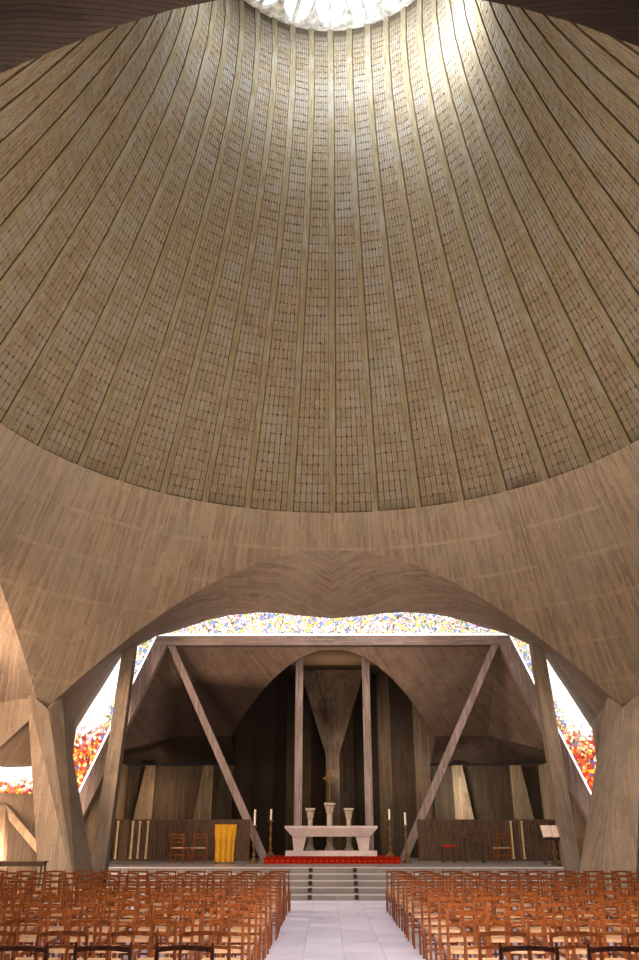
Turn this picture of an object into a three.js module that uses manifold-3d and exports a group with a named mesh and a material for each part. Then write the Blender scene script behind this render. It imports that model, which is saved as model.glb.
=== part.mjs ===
// Modern concrete church: a flared round lantern tower over a square crossing, with four arms.
// Millimetres, +Z up, tower axis on X = Y = 0, sanctuary towards +Y, entrance towards -Y.
import * as THREE from "three";
import { ConvexGeometry } from "three/addons/geometries/ConvexGeometry.js";
import { mergeVertices } from "three/addons/utils/BufferGeometryUtils.js";
import Module from "manifold-3d";

const wasm = await Module();
wasm.setup();

// Ground to floor, and the clearance between pieces that touch
const FLOOR_THICKNESS = 300;
const GAP = 0.3;

// Tower: inner face r(z) = hypot(THROAT_RADIUS, FLARE * (THROAT_HEIGHT - z)), heights from the floor
const THROAT_RADIUS = 4621;
const THROAT_HEIGHT = 28460;
const FLARE = 0.5333;
const OCULUS_HEIGHT = 30890;
const RING_HEIGHT = 12174;
const RING_LEDGE = 70;
const LANTERN_WALL = 320;
const SKIRT_WALL = 350;
const SKIRT_FOOT = 4900;
const RIB_COUNT = 40;
const RIB_WIDTH = 220;
const RIB_DEPTH = 60;
const LANTERN_ROWS = 9;
const STAR_SPOKES = 20;
const STAR_RING = 120;
const STAR_SPOKE_WIDTH = 90;
const STAR_TIP = 3650;
const STAR_EYE = 2100;
const STAR_BEND = 250;
const STAR_DEPTH = 200;
const SKIRT_ROWS = 12;
const SKIRT_SIDES = 96;

// Arches: leaning planes that cut the skirt at ARCH_OUT + ARCH_LEAN * (z - ARCH_LEVEL) from the axis
const ARCH_OUT = 9413;
const ARCH_LEAN = 0.1768;
const ARCH_LEVEL = 5300;

// Arms: the glazed gable of three arms, and of the long nave arm
const GABLE_OUT = 12000;
const NAVE_GABLE_OUT = 18350;
const FRAME_DEPTH = 350;
const VAULT_THICKNESS = 300;
const VAULT_ARCH_END = 9330;
const VAULT_ROWS = 5;
// Soffit of the outer vault along the gable, from the keel outwards: distance from the keel, height
const SOFFIT_LINE = [
  [0, 8780],
  [1210, 8890],
  [2000, 8980],
  [2690, 9010],
  [3800, 8940],
  [4600, 8790],
  [5430, 8540],
  [6440, 8275],
  [7560, 7740],
  [8300, 6315],
  [9000, 4970],
];

// Gable frame: a beam on two raking legs
const FRAME_HEAD_X = 6440;
const FRAME_HEAD_Z = 8210;
const FRAME_KNEE_X = 9300;
const FRAME_KNEE_Z = 1190;
const BEAM_DEPTH = 350;
const LEG_WIDTH = 520;
const GLASS_THICKNESS = 40;
const SILL_HEIGHT = 2800;

// Corner pier, foot then head: arris and back edge on the diagonal (X = Y, height), then the side edge
const PIER_ARRIS = [[6860, 0], [9050, 5200]];
const PIER_BACK = [[8000, 0], [9800, 5300]];
const PIER_SIDE = [[6540, 7750, 0], [8900, 9750, 5750]];
// Its two raking struts on low footings, and the web from its head out to the gable
const PIER_LAP = 2;
const RAKER_FOOT = [7000, 9300];
const RAKER_HEAD = [7320, 11780, 7950];
const RAKER_WIDTHS = [450, 430];
const FOOTING_HALF_WIDTH = 200;
const FOOTING_HEIGHT = 300;
const WEB_LINE = [8980, 9280];
const WEB_OUTLINE = [
  [9300, 5150],
  [11500, 2900],
  [11960, 2900],
  [11960, 5850],
  [10000, 5850],
];
// The roofs are cut out of a pier at these heights above their place, so nothing of it stands on them
const ABOVE_ROOF_LIFTS = [-3 * GAP, 0.8 * VAULT_THICKNESS, 1.6 * VAULT_THICKNESS, 2.4 * VAULT_THICKNESS];

// Braces of the low corner walls
const BRACE_FOOT = [7500, 9250];
const BRACE_HEAD_Z = 2450;
const BRACE_WIDTH = 330;

// Corners: diagonal wall and the low roof outside each pier
const WALL = 300;
const CORNER_NEAR = 9300;
const CORNER_ROOF_THICKNESS = 450;
const CORNER_ROOF_LEAN = 8;
const CORNER_TIP = 9350;
const CORNER_SOFFIT = 3600;
const CORNER_SOFFIT_MIDDLE = 3420;
const CORNER_SPRING_INNER = 5120;
const CORNER_SPRING_SIDE = 5130;
const EAVES = 150;
const STRIP_TOP = 5200;
const STRIP_INSET = 30;
const STRIP_THICKNESS = 60;
const GLASS_SIDE_TOP = 4600;

// Low side roofs of the long nave arm: inner edge, and its height at the near and the far end
const NAVE_SIDE_ROOF_X = 8900;
const NAVE_SIDE_ROOF_NEAR = 5400;
const NAVE_SIDE_ROOF_FAR = 4990;

// Lower rooms beyond three of the gables
const ROOM_HALF_WIDTH = 7950;
const ROOM_OUT = 15950;
const ROOM_WALL_HEIGHT = 4000;
const ROOM_FOLD_X = 5800;
const ROOM_FOLD_Y = 14300;
const ROOM_FOLD_Z = 4950;
const ROOM_ROOF_THICKNESS = 220;
const ROOM_RETURN_OUT = 9100;
const ROOM_RETURN_HEIGHT = 2900;
const PILASTER_INNER = [4600, 6850];
const PILASTER_HEAD = 380;
const PILASTER_FOOT = 900;
const PILASTER_DEPTH = 320;

// Apse behind the sanctuary room
const APSE_HALF_WIDTH = 3850;
const APSE_SPRING = 4900;
const APSE_CROWN = 7800;
const APSE_CEILING = 7870;
const APSE_ROOF_THICKNESS = 200;
const APSE_DEPTH = 2350;
const APSE_FOLDS = 12;
const APSE_FOLD_DEPTH = 450;
const APSE_WALL = 240;
const APSE_LAP = 20;
const APSE_FRONT = GABLE_OUT + FRAME_DEPTH + 60;
const APSE_CENTRE = ROOM_OUT + WALL + 40;
const APSE_FAR = APSE_CENTRE + 3000;
const APSE_ARCH_STEPS = 14;
const APSE_ARCH_FOOT = 3000;
const APSE_CHEEK_FOOT = 4300;
const UNDER_ROOF_STEP = 0.9 * ROOM_ROOF_THICKNESS;
const PILLAR_Y = 16900;
const PILLAR_DEPTH = 350;
const PILLAR_HALF = 270;
const PILLAR_FLARE = 1350;
const PILLAR_WAIST = 4500;
const GROOVE_HEAD_FROM = 200;
const GROOVE_HEAD_TO = 620;
const GROOVE_FOOT = PILLAR_WAIST + 1100;
const CUT_BEYOND = 100;

// Sanctuary floor, steps and altar
const RISER = 150;
const TREAD = 300;
const STEP_COUNT = 5;
const STEPS_FOOT_Y = 6830;
const STEPS_HALF_WIDTH = 6200;
const PLATFORM_HEIGHT = RISER * STEP_COUNT;
const PLATFORM_CLEARANCE = 5;
const PLATFORM_BESIDE_PIER = [
  [6400, 9850],
  [7350, 9950],
];
const PLATFORM_BESIDE_LEG = 10300;
const PLATFORM_IN_APSE = [
  [3400, ROOM_OUT - PLATFORM_CLEARANCE],
  [2900, 17150],
  [1500, 17850],
];
const DAIS_LEFT = -2200;
const DAIS_RIGHT = 2050;
const DAIS_HEIGHT = 170;
const DAIS_FRONT = 10500;
const DAIS_BACK = 13800;
const ALTAR_MIDDLE_X = -100;
const ALTAR_MIDDLE_Y = 12800;
const ALTAR_PLINTH = 160;
const ALTAR_HEIGHT = 920;
const ALTAR_SLAB = 330;
const ALTAR_EDGE = 70;

// Half lengths and half depths of the altar's plinth, supports and slab, and the supports' places
const PLINTH_HALF = [1520, 520];
const SUPPORT_FOOT_HALF = [155, 260];
const SUPPORT_HEAD_HALF = [235, 340];
const SUPPORT_FOOT_X = 1100;
const SUPPORT_HEAD_X = 1070;
const SLAB_UNDER_HALF = [1300, 380];
const SLAB_HALF = [1560, 480];

// Posts, struts and choir screens of the sanctuary
const POST_X = 1270;
const POST_Y = 14000;
const POST_WIDTH = 280;
const STRUT_HEAD_X = 5980;
const STRUT_FOOT_X = 2400;
const STRUT_FOOT_Y = 13800;
const STRUT_HEAD_Y = GABLE_OUT + 160;
const STRUT_WIDTHS = [260, 300];
const SCREEN_NEAR = 2900;
const SCREEN_FAR = 7700;
const SCREEN_Y = 13200;
const SCREEN_HEIGHT = 1300;
const SCREEN_THICKNESS = 80;
const SCREEN_SLOTS = 7;
const SCREEN_SLOT_PITCH = 330;
const SCREEN_SLOT_WIDTH = 40;
const SCREEN_RAIL = 120;
const SCREEN_END = 300;

// Entrance
const DOOR_HALF_WIDTH = 1700;
const DOOR_HEIGHT = 3000;
const DOOR_THICKNESS = 80;
const DOOR_CLEARANCE = 10;
const ENTRANCE_SETBACK = 30;

const concrete = new THREE.MeshStandardMaterial({ color: 0x9b8a70, roughness: 0.9, metalness: 0 });
const darkConcrete = new THREE.MeshStandardMaterial({ color: 0x6d5d4c, roughness: 0.9, metalness: 0 });
const panels = new THREE.MeshStandardMaterial({ color: 0x97855f, roughness: 0.85, metalness: 0 });
const marble = new THREE.MeshStandardMaterial({ color: 0xcfd0d6, roughness: 0.25, metalness: 0 });
const whiteStone = new THREE.MeshStandardMaterial({ color: 0xf0eee8, roughness: 0.4, metalness: 0 });
const carpet = new THREE.MeshStandardMaterial({ color: 0xa03028, roughness: 1, metalness: 0 });
const glass = new THREE.MeshStandardMaterial({ color: 0xe0a040, roughness: 0.2, metalness: 0 });
const darkWood = new THREE.MeshStandardMaterial({ color: 0x2d1f17, roughness: 0.6, metalness: 0 });

// Solids

function solidOf(geometry) {
  const bare = new THREE.BufferGeometry();
  bare.setAttribute("position", geometry.getAttribute("position"));
  bare.setIndex(geometry.index);
  const merged = mergeVertices(bare, 0.01);
  return new wasm.Manifold(
    new wasm.Mesh({
      numProp: 3,
      vertProperties: new Float32Array(merged.attributes.position.array),
      triVerts: new Uint32Array(merged.index.array),
    }),
  );
}

function geometryOf(solid) {
  const out = solid.getMesh();
  const geometry = new THREE.BufferGeometry();
  geometry.setAttribute("position", new THREE.BufferAttribute(out.vertProperties, 3));
  geometry.setIndex(new THREE.BufferAttribute(out.triVerts, 1));
  geometry.computeVertexNormals();
  return geometry;
}

// The largest body of a solid, without the slivers that a cut may leave
function mainBody(solid) {
  return solid.decompose().reduce((a, b) => (a.volume() > b.volume() ? a : b));
}

function boxSolid(x0, x1, y0, y1, z0, z1) {
  const geometry = new THREE.BoxGeometry(x1 - x0, y1 - y0, z1 - z0);
  geometry.translate((x0 + x1) / 2, (y0 + y1) / 2, (z0 + z1) / 2);
  return solidOf(geometry);
}

function hullSolid(points) {
  return solidOf(new ConvexGeometry(points.map((p) => new THREE.Vector3(...p))));
}

// An outline drawn looking along +Y: points are [x, z], between two distances from the axis
function gableSolid(outline, near, far) {
  const shape = new THREE.Shape(outline.map(([x, z]) => new THREE.Vector2(x, z)));
  const geometry = new THREE.ExtrudeGeometry(shape, { depth: far - near, bevelEnabled: false });
  geometry.rotateX(Math.PI / 2);
  geometry.translate(0, far, 0);
  return solidOf(geometry);
}

// A plan outline: points are [x, y], between two heights
function planSolid(outline, bottom, top) {
  const shape = new THREE.Shape(outline.map(([x, y]) => new THREE.Vector2(x, y)));
  const geometry = new THREE.ExtrudeGeometry(shape, { depth: top - bottom, bevelEnabled: false });
  geometry.translate(0, 0, bottom);
  return solidOf(geometry);
}

// A closed slab between two grids of points, both with rows of equal length
function slabGeometry(lower, upper) {
  const rows = lower.length;
  const columns = lower[0].length;
  const positions = [];
  const faces = [];
  for (const grid of [lower, upper]) {
    for (const row of grid) {
      for (const point of row) positions.push(...point);
    }
  }
  const low = (r, c) => r * columns + c;
  const high = (r, c) => (rows + r) * columns + c;
  const quad = (a, b, c, d) => faces.push(a, b, c, a, c, d);
  for (let r = 0; r + 1 < rows; r++) {
    for (let c = 0; c + 1 < columns; c++) {
      quad(low(r, c), low(r + 1, c), low(r + 1, c + 1), low(r, c + 1));
      quad(high(r, c), high(r, c + 1), high(r + 1, c + 1), high(r + 1, c));
    }
    quad(low(r, 0), high(r, 0), high(r + 1, 0), low(r + 1, 0));
    quad(low(r, columns - 1), low(r + 1, columns - 1), high(r + 1, columns - 1), high(r, columns - 1));
  }
  for (let c = 0; c + 1 < columns; c++) {
    quad(low(0, c), low(0, c + 1), high(0, c + 1), high(0, c));
    quad(low(rows - 1, c), high(rows - 1, c), high(rows - 1, c + 1), low(rows - 1, c + 1));
  }
  const geometry = new THREE.BufferGeometry();
  geometry.setAttribute("position", new THREE.Float32BufferAttribute(positions, 3));
  geometry.setIndex(faces);
  geometry.computeVertexNormals();
  return geometry;
}

// A square bar between two points, its sides set by the widths at its two ends
function barSolid(from, to, fromWidth, toWidth) {
  const points = [];
  for (const [[x, y, z], width] of [[from, fromWidth], [to, toWidth]]) {
    for (const dx of [-width / 2, width / 2]) {
      for (const dy of [-width / 2, width / 2]) points.push([x + dx, y + dy, z]);
    }
  }
  return hullSolid(points);
}

function innerRadius(z) {
  return Math.hypot(THROAT_RADIUS, FLARE * (THROAT_HEIGHT - z));
}

function archOut(z) {
  return ARCH_OUT + ARCH_LEAN * (z - ARCH_LEVEL);
}

// Height of the arch edge at a distance x from the arm's centre line
function archHeight(x) {
  let low = 4000;
  let high = 12000;
  for (let i = 0; i < 40; i++) {
    const z = (low + high) / 2;
    if (Math.hypot(x, archOut(z)) > innerRadius(z)) high = z;
    else low = z;
  }
  return (low + high) / 2;
}

// Tower

function lanternQuarter() {
  const pitch = (2 * Math.PI) / RIB_COUNT;
  const inner = [];
  const outer = [];
  for (let row = 0; row <= LANTERN_ROWS; row++) {
    const z = RING_HEIGHT + GAP + ((OCULUS_HEIGHT - RING_HEIGHT) * row) / LANTERN_ROWS;
    const radius = innerRadius(z);
    const halfRib = RIB_WIDTH / 2 / radius;
    const innerRow = [];
    const outerRow = [];
    const column = (angle, proud) => {
      const face = radius + RING_LEDGE - (proud ? RIB_DEPTH : 0);
      const back = radius + LANTERN_WALL + (proud ? RIB_DEPTH : 0);
      innerRow.push([face * Math.cos(angle), face * Math.sin(angle), z]);
      outerRow.push([back * Math.cos(angle), back * Math.sin(angle), z]);
    };
    const start = pitch / 2;
    column(start, false);
    for (let rib = 1; rib <= RIB_COUNT / 4; rib++) {
      const centre = start + (rib - 0.5) * pitch;
      column(centre - halfRib, false);
      column(centre - halfRib * 0.98, true);
      column(centre + halfRib * 0.98, true);
      column(centre + halfRib, false);
    }
    column(start + (Math.PI / 2) * (1 - GAP / 20000), false);
    inner.push(innerRow);
    outer.push(outerRow);
  }
  return slabGeometry(inner, outer);
}

function skirtRing() {
  const profile = [];
  for (let row = 0; row <= SKIRT_ROWS; row++) {
    const z = SKIRT_FOOT + ((RING_HEIGHT - SKIRT_FOOT) * row) / SKIRT_ROWS;
    profile.push([innerRadius(z), z]);
  }
  for (let row = SKIRT_ROWS; row >= 0; row--) {
    const z = SKIRT_FOOT + ((RING_HEIGHT - SKIRT_FOOT) * row) / SKIRT_ROWS;
    profile.push([innerRadius(z) + SKIRT_WALL, z]);
  }
  profile.push(profile[0]);
  profile.reverse();
  const geometry = new THREE.LatheGeometry(
    profile.map(([r, z]) => new THREE.Vector2(r, z)),
    SKIRT_SIDES,
  );
  geometry.rotateX(Math.PI / 2);
  return solidOf(geometry);
}

// Everything inside the leaning arch planes of one corner
function cornerWedge() {
  const low = SKIRT_FOOT;
  const high = RING_HEIGHT;
  const points = [];
  for (const z of [low, high]) {
    const far = archOut(z);
    points.push([GAP / 2, GAP / 2, z], [far, GAP / 2, z], [GAP / 2, far, z], [far, far, z]);
  }
  return hullSolid(points);
}

function cornerRoof() {
  const end = SOFFIT_LINE[SOFFIT_LINE.length - 1];
  const gableBack = GABLE_OUT + FRAME_DEPTH;
  const springZ = archHeight(VAULT_ARCH_END);
  const middle = (gableBack + CORNER_NEAR + EAVES) / 2;
  const soffit = [
    [CORNER_TIP, CORNER_TIP, CORNER_SPRING_INNER],
    [VAULT_ARCH_END + GAP, archOut(springZ), CORNER_SPRING_SIDE],
    [end[0] + GAP, gableBack, end[1]],
    [CORNER_NEAR + EAVES, gableBack, CORNER_SOFFIT],
    [middle, middle, CORNER_SOFFIT_MIDDLE],
  ];
  const half = soffit.flatMap(([x, y, z]) => [
    [x, y, z],
    [x + CORNER_ROOF_LEAN, y, z + CORNER_ROOF_THICKNESS],
  ]);
  const other = half.map(([x, y, z]) => [y, x, z]);
  return hullSolid(half).add(hullSolid(other));
}

function skirtCorner() {
  return mainBody(skirtRing().intersect(cornerWedge()).add(cornerRoof()));
}

// Vaults, gable frames and glass

function vaultSolid(gableOut) {
  const stations = [
    ...SOFFIT_LINE.slice(1).map(([x, z]) => [-x, z]).reverse(),
    ...SOFFIT_LINE,
  ];
  const end = SOFFIT_LINE[SOFFIT_LINE.length - 1][0];
  const soffit = [];
  const top = [];
  for (let row = 0; row <= VAULT_ROWS; row++) {
    const t = row / VAULT_ROWS;
    const across = (lift) => stations.map(([x, z]) => {
      const archX = (x * VAULT_ARCH_END) / end;
      const archZ = archHeight(Math.abs(archX)) + lift;
      const archY = archOut(archZ) + GAP;
      return [
        archX + (x - archX) * t,
        archY + (gableOut + FRAME_DEPTH - archY) * t,
        archZ + (z + lift - archZ) * t,
      ];
    });
    soffit.push(across(0));
    top.push(across(VAULT_THICKNESS));
  }
  return solidOf(slabGeometry(soffit, top));
}

function legSlope() {
  return (FRAME_KNEE_X - FRAME_HEAD_X) / (FRAME_HEAD_Z - FRAME_KNEE_Z);
}

function frameSolid(gableOut) {
  const outer = [
    [-FRAME_KNEE_X, 0],
    [-FRAME_KNEE_X, FRAME_KNEE_Z],
    [-FRAME_HEAD_X, FRAME_HEAD_Z],
    [FRAME_HEAD_X, FRAME_HEAD_Z],
    [FRAME_KNEE_X, FRAME_KNEE_Z],
    [FRAME_KNEE_X, 0],
  ];
  const innerTop = FRAME_HEAD_Z - BEAM_DEPTH;
  const innerHead = FRAME_HEAD_X + BEAM_DEPTH * legSlope() - LEG_WIDTH;
  const inner = [
    [FRAME_KNEE_X - LEG_WIDTH, 0],
    [FRAME_KNEE_X - LEG_WIDTH, FRAME_KNEE_Z],
    [innerHead, innerTop],
    [-innerHead, innerTop],
    [-FRAME_KNEE_X + LEG_WIDTH, FRAME_KNEE_Z],
    [-FRAME_KNEE_X + LEG_WIDTH, 0],
  ];
  return gableSolid([...outer, ...inner], gableOut, gableOut + FRAME_DEPTH);
}

// What is left of a piece after its neighbours are cut away, with a gap beside and under or over them
function cutBy(piece, neighbours, lifts = [-3 * GAP]) {
  let left = piece;
  for (const neighbour of neighbours) {
    for (const lift of lifts) {
      for (const side of [-GAP, 0, GAP]) left = left.subtract(neighbour.translate([side, side, lift]));
    }
  }
  return mainBody(left);
}

function gableGlass(gableOut, neighbours) {
  const middle = gableOut + FRAME_DEPTH / 2;
  const near = middle - GLASS_THICKNESS / 2;
  const kneeSillX = FRAME_KNEE_X - (SILL_HEIGHT - FRAME_KNEE_Z) * legSlope();
  const top = SOFFIT_LINE.map(([x, z]) => [x, z + VAULT_THICKNESS / 3]);
  const right = [
    ...top,
    [CORNER_NEAR - GAP, GLASS_SIDE_TOP],
    [CORNER_NEAR - GAP, SILL_HEIGHT + GAP],
    [kneeSillX + 2 * GAP, SILL_HEIGHT + GAP],
    [FRAME_HEAD_X + GAP, FRAME_HEAD_Z + GAP],
  ];
  const left = right.slice(1).map(([x, z]) => [-x, z]).reverse();
  return cutBy(gableSolid([...left, ...right], near, near + GLASS_THICKNESS), neighbours);
}

// Corner pier with its two raking struts and its two webs

// A piece and its mirror image on the other side of the corner's diagonal
function bothSides(solid) {
  return solid.add(solid.rotate([0, 0, 90]).mirror([1, 0, 0]));
}

function pierCluster(neighbours) {
  const onDiagonal = [...PIER_ARRIS, ...PIER_BACK].map(([out, z]) => [out + PIER_LAP, out - PIER_LAP, z]);
  const pier = hullSolid([...onDiagonal, ...PIER_SIDE]);
  const [footX, footY] = RAKER_FOOT;
  const raker = barSolid([footX, footY, 0], RAKER_HEAD, ...RAKER_WIDTHS);
  const footing = boxSolid(
    footX - FOOTING_HALF_WIDTH,
    footX + FOOTING_HALF_WIDTH,
    PIER_SIDE[0][1],
    footY + FOOTING_HALF_WIDTH,
    0,
    FOOTING_HEIGHT,
  );
  const web = gableSolid(WEB_OUTLINE, ...WEB_LINE);
  const whole = bothSides(pier.add(raker).add(footing).add(web));
  return cutBy(whole, neighbours, ABOVE_ROOF_LIFTS);
}

function cornerWall() {
  const near = CORNER_NEAR;
  const far = GABLE_OUT;
  const kneeSillX = FRAME_KNEE_X - (SILL_HEIGHT - FRAME_KNEE_Z) * legSlope();
  const wall = planSolid(
    [
      [near, far],
      [far, near],
      [far + FRAME_DEPTH, near],
      [far + FRAME_DEPTH, near + EAVES / 2],
      [near + EAVES / 2, far + FRAME_DEPTH],
      [near, far + FRAME_DEPTH],
    ],
    0,
    SILL_HEIGHT,
  );
  const cheek = gableSolid(
    [
      [near + 5, FRAME_KNEE_Z + 20],
      [near + 5, SILL_HEIGHT],
      [kneeSillX + 2 * GAP, SILL_HEIGHT],
      [near + GAP, FRAME_KNEE_Z + 2 * GAP],
    ],
    far,
    far + FRAME_DEPTH,
  );
  const middle = (near + far) / 2;
  const [footX, footY] = BRACE_FOOT;
  const head = [middle, middle, BRACE_HEAD_Z];
  const brace = barSolid(head, [footX, footY, 0], BRACE_WIDTH, BRACE_WIDTH);
  return wall.add(bothSides(cheek.add(brace)));
}

function cornerGlass(roof) {
  const inner = CORNER_NEAR + GAP + STRIP_INSET;
  const far = GABLE_OUT + FRAME_DEPTH / 2;
  const sheet = planSolid(
    [
      [inner, far],
      [far, inner],
      [far, inner + STRIP_THICKNESS],
      [inner + STRIP_THICKNESS, far],
    ],
    SILL_HEIGHT + GAP,
    STRIP_TOP,
  );
  return cutBy(sheet, [roof]);
}

// Lower rooms beyond the gables

// A folded slab of even depth over soffit points joined by triangles
function foldedSlab(points, triangles, depth) {
  const positions = [
    ...points.flatMap(([x, y, z]) => [x, y, z]),
    ...points.flatMap(([x, y, z]) => [x, y, z + depth]),
  ];
  const count = points.length;
  const faces = [];
  const edges = new Map();
  for (const [a, b, c] of triangles) {
    faces.push(a, c, b, a + count, b + count, c + count);
    for (const [from, to] of [[a, b], [b, c], [c, a]]) {
      if (edges.has(to + "/" + from)) edges.delete(to + "/" + from);
      else edges.set(from + "/" + to, [from, to]);
    }
  }
  for (const [from, to] of edges.values()) {
    faces.push(from, to, to + count, from, to + count, from + count);
  }
  const geometry = new THREE.BufferGeometry();
  geometry.setAttribute("position", new THREE.Float32BufferAttribute(positions, 3));
  geometry.setIndex(faces);
  return solidOf(geometry);
}

function roomRoof() {
  const near = GABLE_OUT + FRAME_DEPTH + GAP;
  const far = ROOM_OUT + WALL + EAVES;
  const side = ROOM_HALF_WIDTH + WALL + EAVES;
  const head = FRAME_HEAD_X + BEAM_DEPTH * legSlope() - LEG_WIDTH;
  const headZ = FRAME_HEAD_Z - BEAM_DEPTH;
  const low = ROOM_WALL_HEIGHT + GAP;
  const points = [
    [-head, near, headZ],
    [head, near, headZ],
    [side, near, low],
    [side, far, low],
    [-side, far, low],
    [-side, near, low],
    [ROOM_FOLD_X, ROOM_FOLD_Y, ROOM_FOLD_Z],
    [-ROOM_FOLD_X, ROOM_FOLD_Y, ROOM_FOLD_Z],
  ];
  const triangles = [
    [0, 1, 6],
    [0, 6, 7],
    [1, 2, 6],
    [2, 3, 6],
    [6, 3, 4],
    [6, 4, 7],
    [7, 4, 5],
    [7, 5, 0],
  ];
  return foldedSlab(points, triangles, ROOM_ROOF_THICKNESS);
}

function roomWalls(gapHalfWidth) {
  const near = GABLE_OUT + FRAME_DEPTH + GAP;
  const side = ROOM_HALF_WIDTH;
  const outline = (sign) => [
    [sign * side, near],
    [sign * (side + WALL), near],
    [sign * (side + WALL), ROOM_OUT + WALL],
    [sign * gapHalfWidth, ROOM_OUT + WALL],
    [sign * gapHalfWidth, ROOM_OUT],
    [sign * side, ROOM_OUT],
  ];
  const wallReturn = roomReturn();
  const right = planSolid(outline(1), 0, ROOM_WALL_HEIGHT).add(wallReturn);
  const left = planSolid(outline(-1).reverse(), 0, ROOM_WALL_HEIGHT).add(wallReturn.mirror([1, 0, 0]));
  return gapHalfWidth > 0 ? [left, right] : [left.add(right)];
}

// The side wall turns outwards behind the gable frame's leg, with its top under the leg's slope
function roomReturn() {
  const near = GABLE_OUT + FRAME_DEPTH + GAP;
  const legMiddle = FRAME_KNEE_X - LEG_WIDTH / 2 - (ROOM_RETURN_HEIGHT - FRAME_KNEE_Z) * legSlope();
  const outline = [
    [ROOM_HALF_WIDTH, 0],
    [ROOM_RETURN_OUT, 0],
    [ROOM_RETURN_OUT, FRAME_KNEE_Z],
    [legMiddle, ROOM_RETURN_HEIGHT],
    [ROOM_HALF_WIDTH, ROOM_RETURN_HEIGHT],
  ];
  return gableSolid(outline, near, near + WALL);
}

// A pilaster on the sanctuary's back wall, upright on its inner side and wider at its foot
function wallPilaster(inner) {
  const outline = [
    [inner, PLATFORM_HEIGHT + GAP],
    [inner + PILASTER_FOOT, PLATFORM_HEIGHT + GAP],
    [inner + PILASTER_HEAD, ROOM_WALL_HEIGHT],
    [inner, ROOM_WALL_HEIGHT],
  ];
  return gableSolid(outline, ROOM_OUT - PILASTER_DEPTH, ROOM_OUT + WALL / 2);
}

function sanctuaryWalls() {
  const [left, right] = roomWalls(APSE_HALF_WIDTH + APSE_LAP);
  const pilasters = PILASTER_INNER.map(wallPilaster).reduce((joined, next) => joined.add(next));
  return [left.add(pilasters.mirror([1, 0, 0])), right.add(pilasters)];
}

function apseArch() {
  const outline = [];
  for (let i = 0; i <= APSE_ARCH_STEPS; i++) {
    const x = -APSE_HALF_WIDTH + (2 * APSE_HALF_WIDTH * i) / APSE_ARCH_STEPS;
    const rise = (APSE_CROWN - APSE_SPRING) * (1 - (x / APSE_HALF_WIDTH) ** 2);
    outline.push([x, APSE_SPRING + rise]);
  }
  outline.push([APSE_HALF_WIDTH, APSE_ARCH_FOOT], [-APSE_HALF_WIDTH, APSE_ARCH_FOOT]);
  return gableSolid(outline, APSE_FRONT, ROOM_OUT + 2 * WALL + EAVES);
}

function apseWallSolid() {
  const outer = [];
  const inner = [];
  for (let i = 0; i <= APSE_FOLDS; i++) {
    const angle = (Math.PI * i) / APSE_FOLDS;
    const fold = i % 2 === 0 ? 0 : -APSE_FOLD_DEPTH;
    const a = APSE_HALF_WIDTH + APSE_WALL + fold;
    const b = APSE_DEPTH + fold;
    outer.push([a * Math.cos(angle), APSE_CENTRE + b * Math.sin(angle)]);
    inner.push([(a - APSE_WALL) * Math.cos(angle), APSE_CENTRE + (b - APSE_WALL) * Math.sin(angle)]);
  }
  return planSolid([...outer, ...inner.reverse()], 0, APSE_CEILING);
}

// One of the two walls that stand on the low roof and carry the apse roof forward to the gable
function apseCheek(roof) {
  const side = APSE_HALF_WIDTH + APSE_WALL;
  const far = APSE_CENTRE + APSE_LAP;
  const cheek = boxSolid(APSE_HALF_WIDTH, side, APSE_FRONT, far, APSE_CHEEK_FOOT, APSE_CEILING);
  let under = roof;
  for (let drop = 1; drop * UNDER_ROOF_STEP < APSE_CHEEK_FOOT; drop++) {
    under = under.add(roof.translate([0, 0, -drop * UNDER_ROOF_STEP]));
  }
  return cutBy(cheek, [under], [3 * GAP]);
}

function apseRoofSolid() {
  const side = APSE_HALF_WIDTH + APSE_WALL;
  const outline = [[-side, APSE_FRONT], [side, APSE_FRONT]];
  for (let i = 0; i <= APSE_FOLDS; i++) {
    const angle = (Math.PI * i) / APSE_FOLDS;
    outline.push([side * Math.cos(angle), APSE_CENTRE + APSE_DEPTH * Math.sin(angle)]);
  }
  return planSolid(outline, APSE_CEILING + GAP, APSE_CEILING + APSE_ROOF_THICKNESS);
}

// The flared pillar in the apse, with a slanting groove down its folded head
function apsePillar() {
  const near = PILLAR_Y;
  const far = PILLAR_Y + PILLAR_DEPTH;
  const outline = [
    [-PILLAR_HALF, PLATFORM_HEIGHT + GAP],
    [PILLAR_HALF, PLATFORM_HEIGHT + GAP],
    [PILLAR_HALF, PILLAR_WAIST],
    [PILLAR_FLARE, APSE_CEILING],
    [-PILLAR_FLARE, APSE_CEILING],
    [-PILLAR_HALF, PILLAR_WAIST],
  ];
  const groove = gableSolid(
    [
      [-PILLAR_FLARE + GROOVE_HEAD_FROM, APSE_CEILING + CUT_BEYOND],
      [-PILLAR_HALF, GROOVE_FOOT],
      [0, GROOVE_FOOT],
      [-PILLAR_FLARE + GROOVE_HEAD_TO, APSE_CEILING + CUT_BEYOND],
    ],
    near - CUT_BEYOND,
    near + PILLAR_DEPTH / 2,
  );
  return gableSolid(outline, near, far).subtract(groove);
}

// Sanctuary struts join the gable frame's heads to the platform
function sanctuaryFrame() {
  const head = FRAME_HEAD_Z - BEAM_DEPTH / 2;
  let frame = frameSolid(GABLE_OUT);
  for (const side of [-1, 1]) {
    const strut = barSolid(
      [side * STRUT_HEAD_X, STRUT_HEAD_Y, head],
      [side * STRUT_FOOT_X, STRUT_FOOT_Y, PLATFORM_HEIGHT + GAP],
      ...STRUT_WIDTHS,
    );
    frame = frame.add(strut);
  }
  return frame;
}

function apsePost(side) {
  const half = POST_WIDTH / 2;
  const x = side * POST_X;
  return boxSolid(
    x - half, x + half, POST_Y - half, POST_Y + half, PLATFORM_HEIGHT + GAP, APSE_CEILING - GAP,
  );
}

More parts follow.
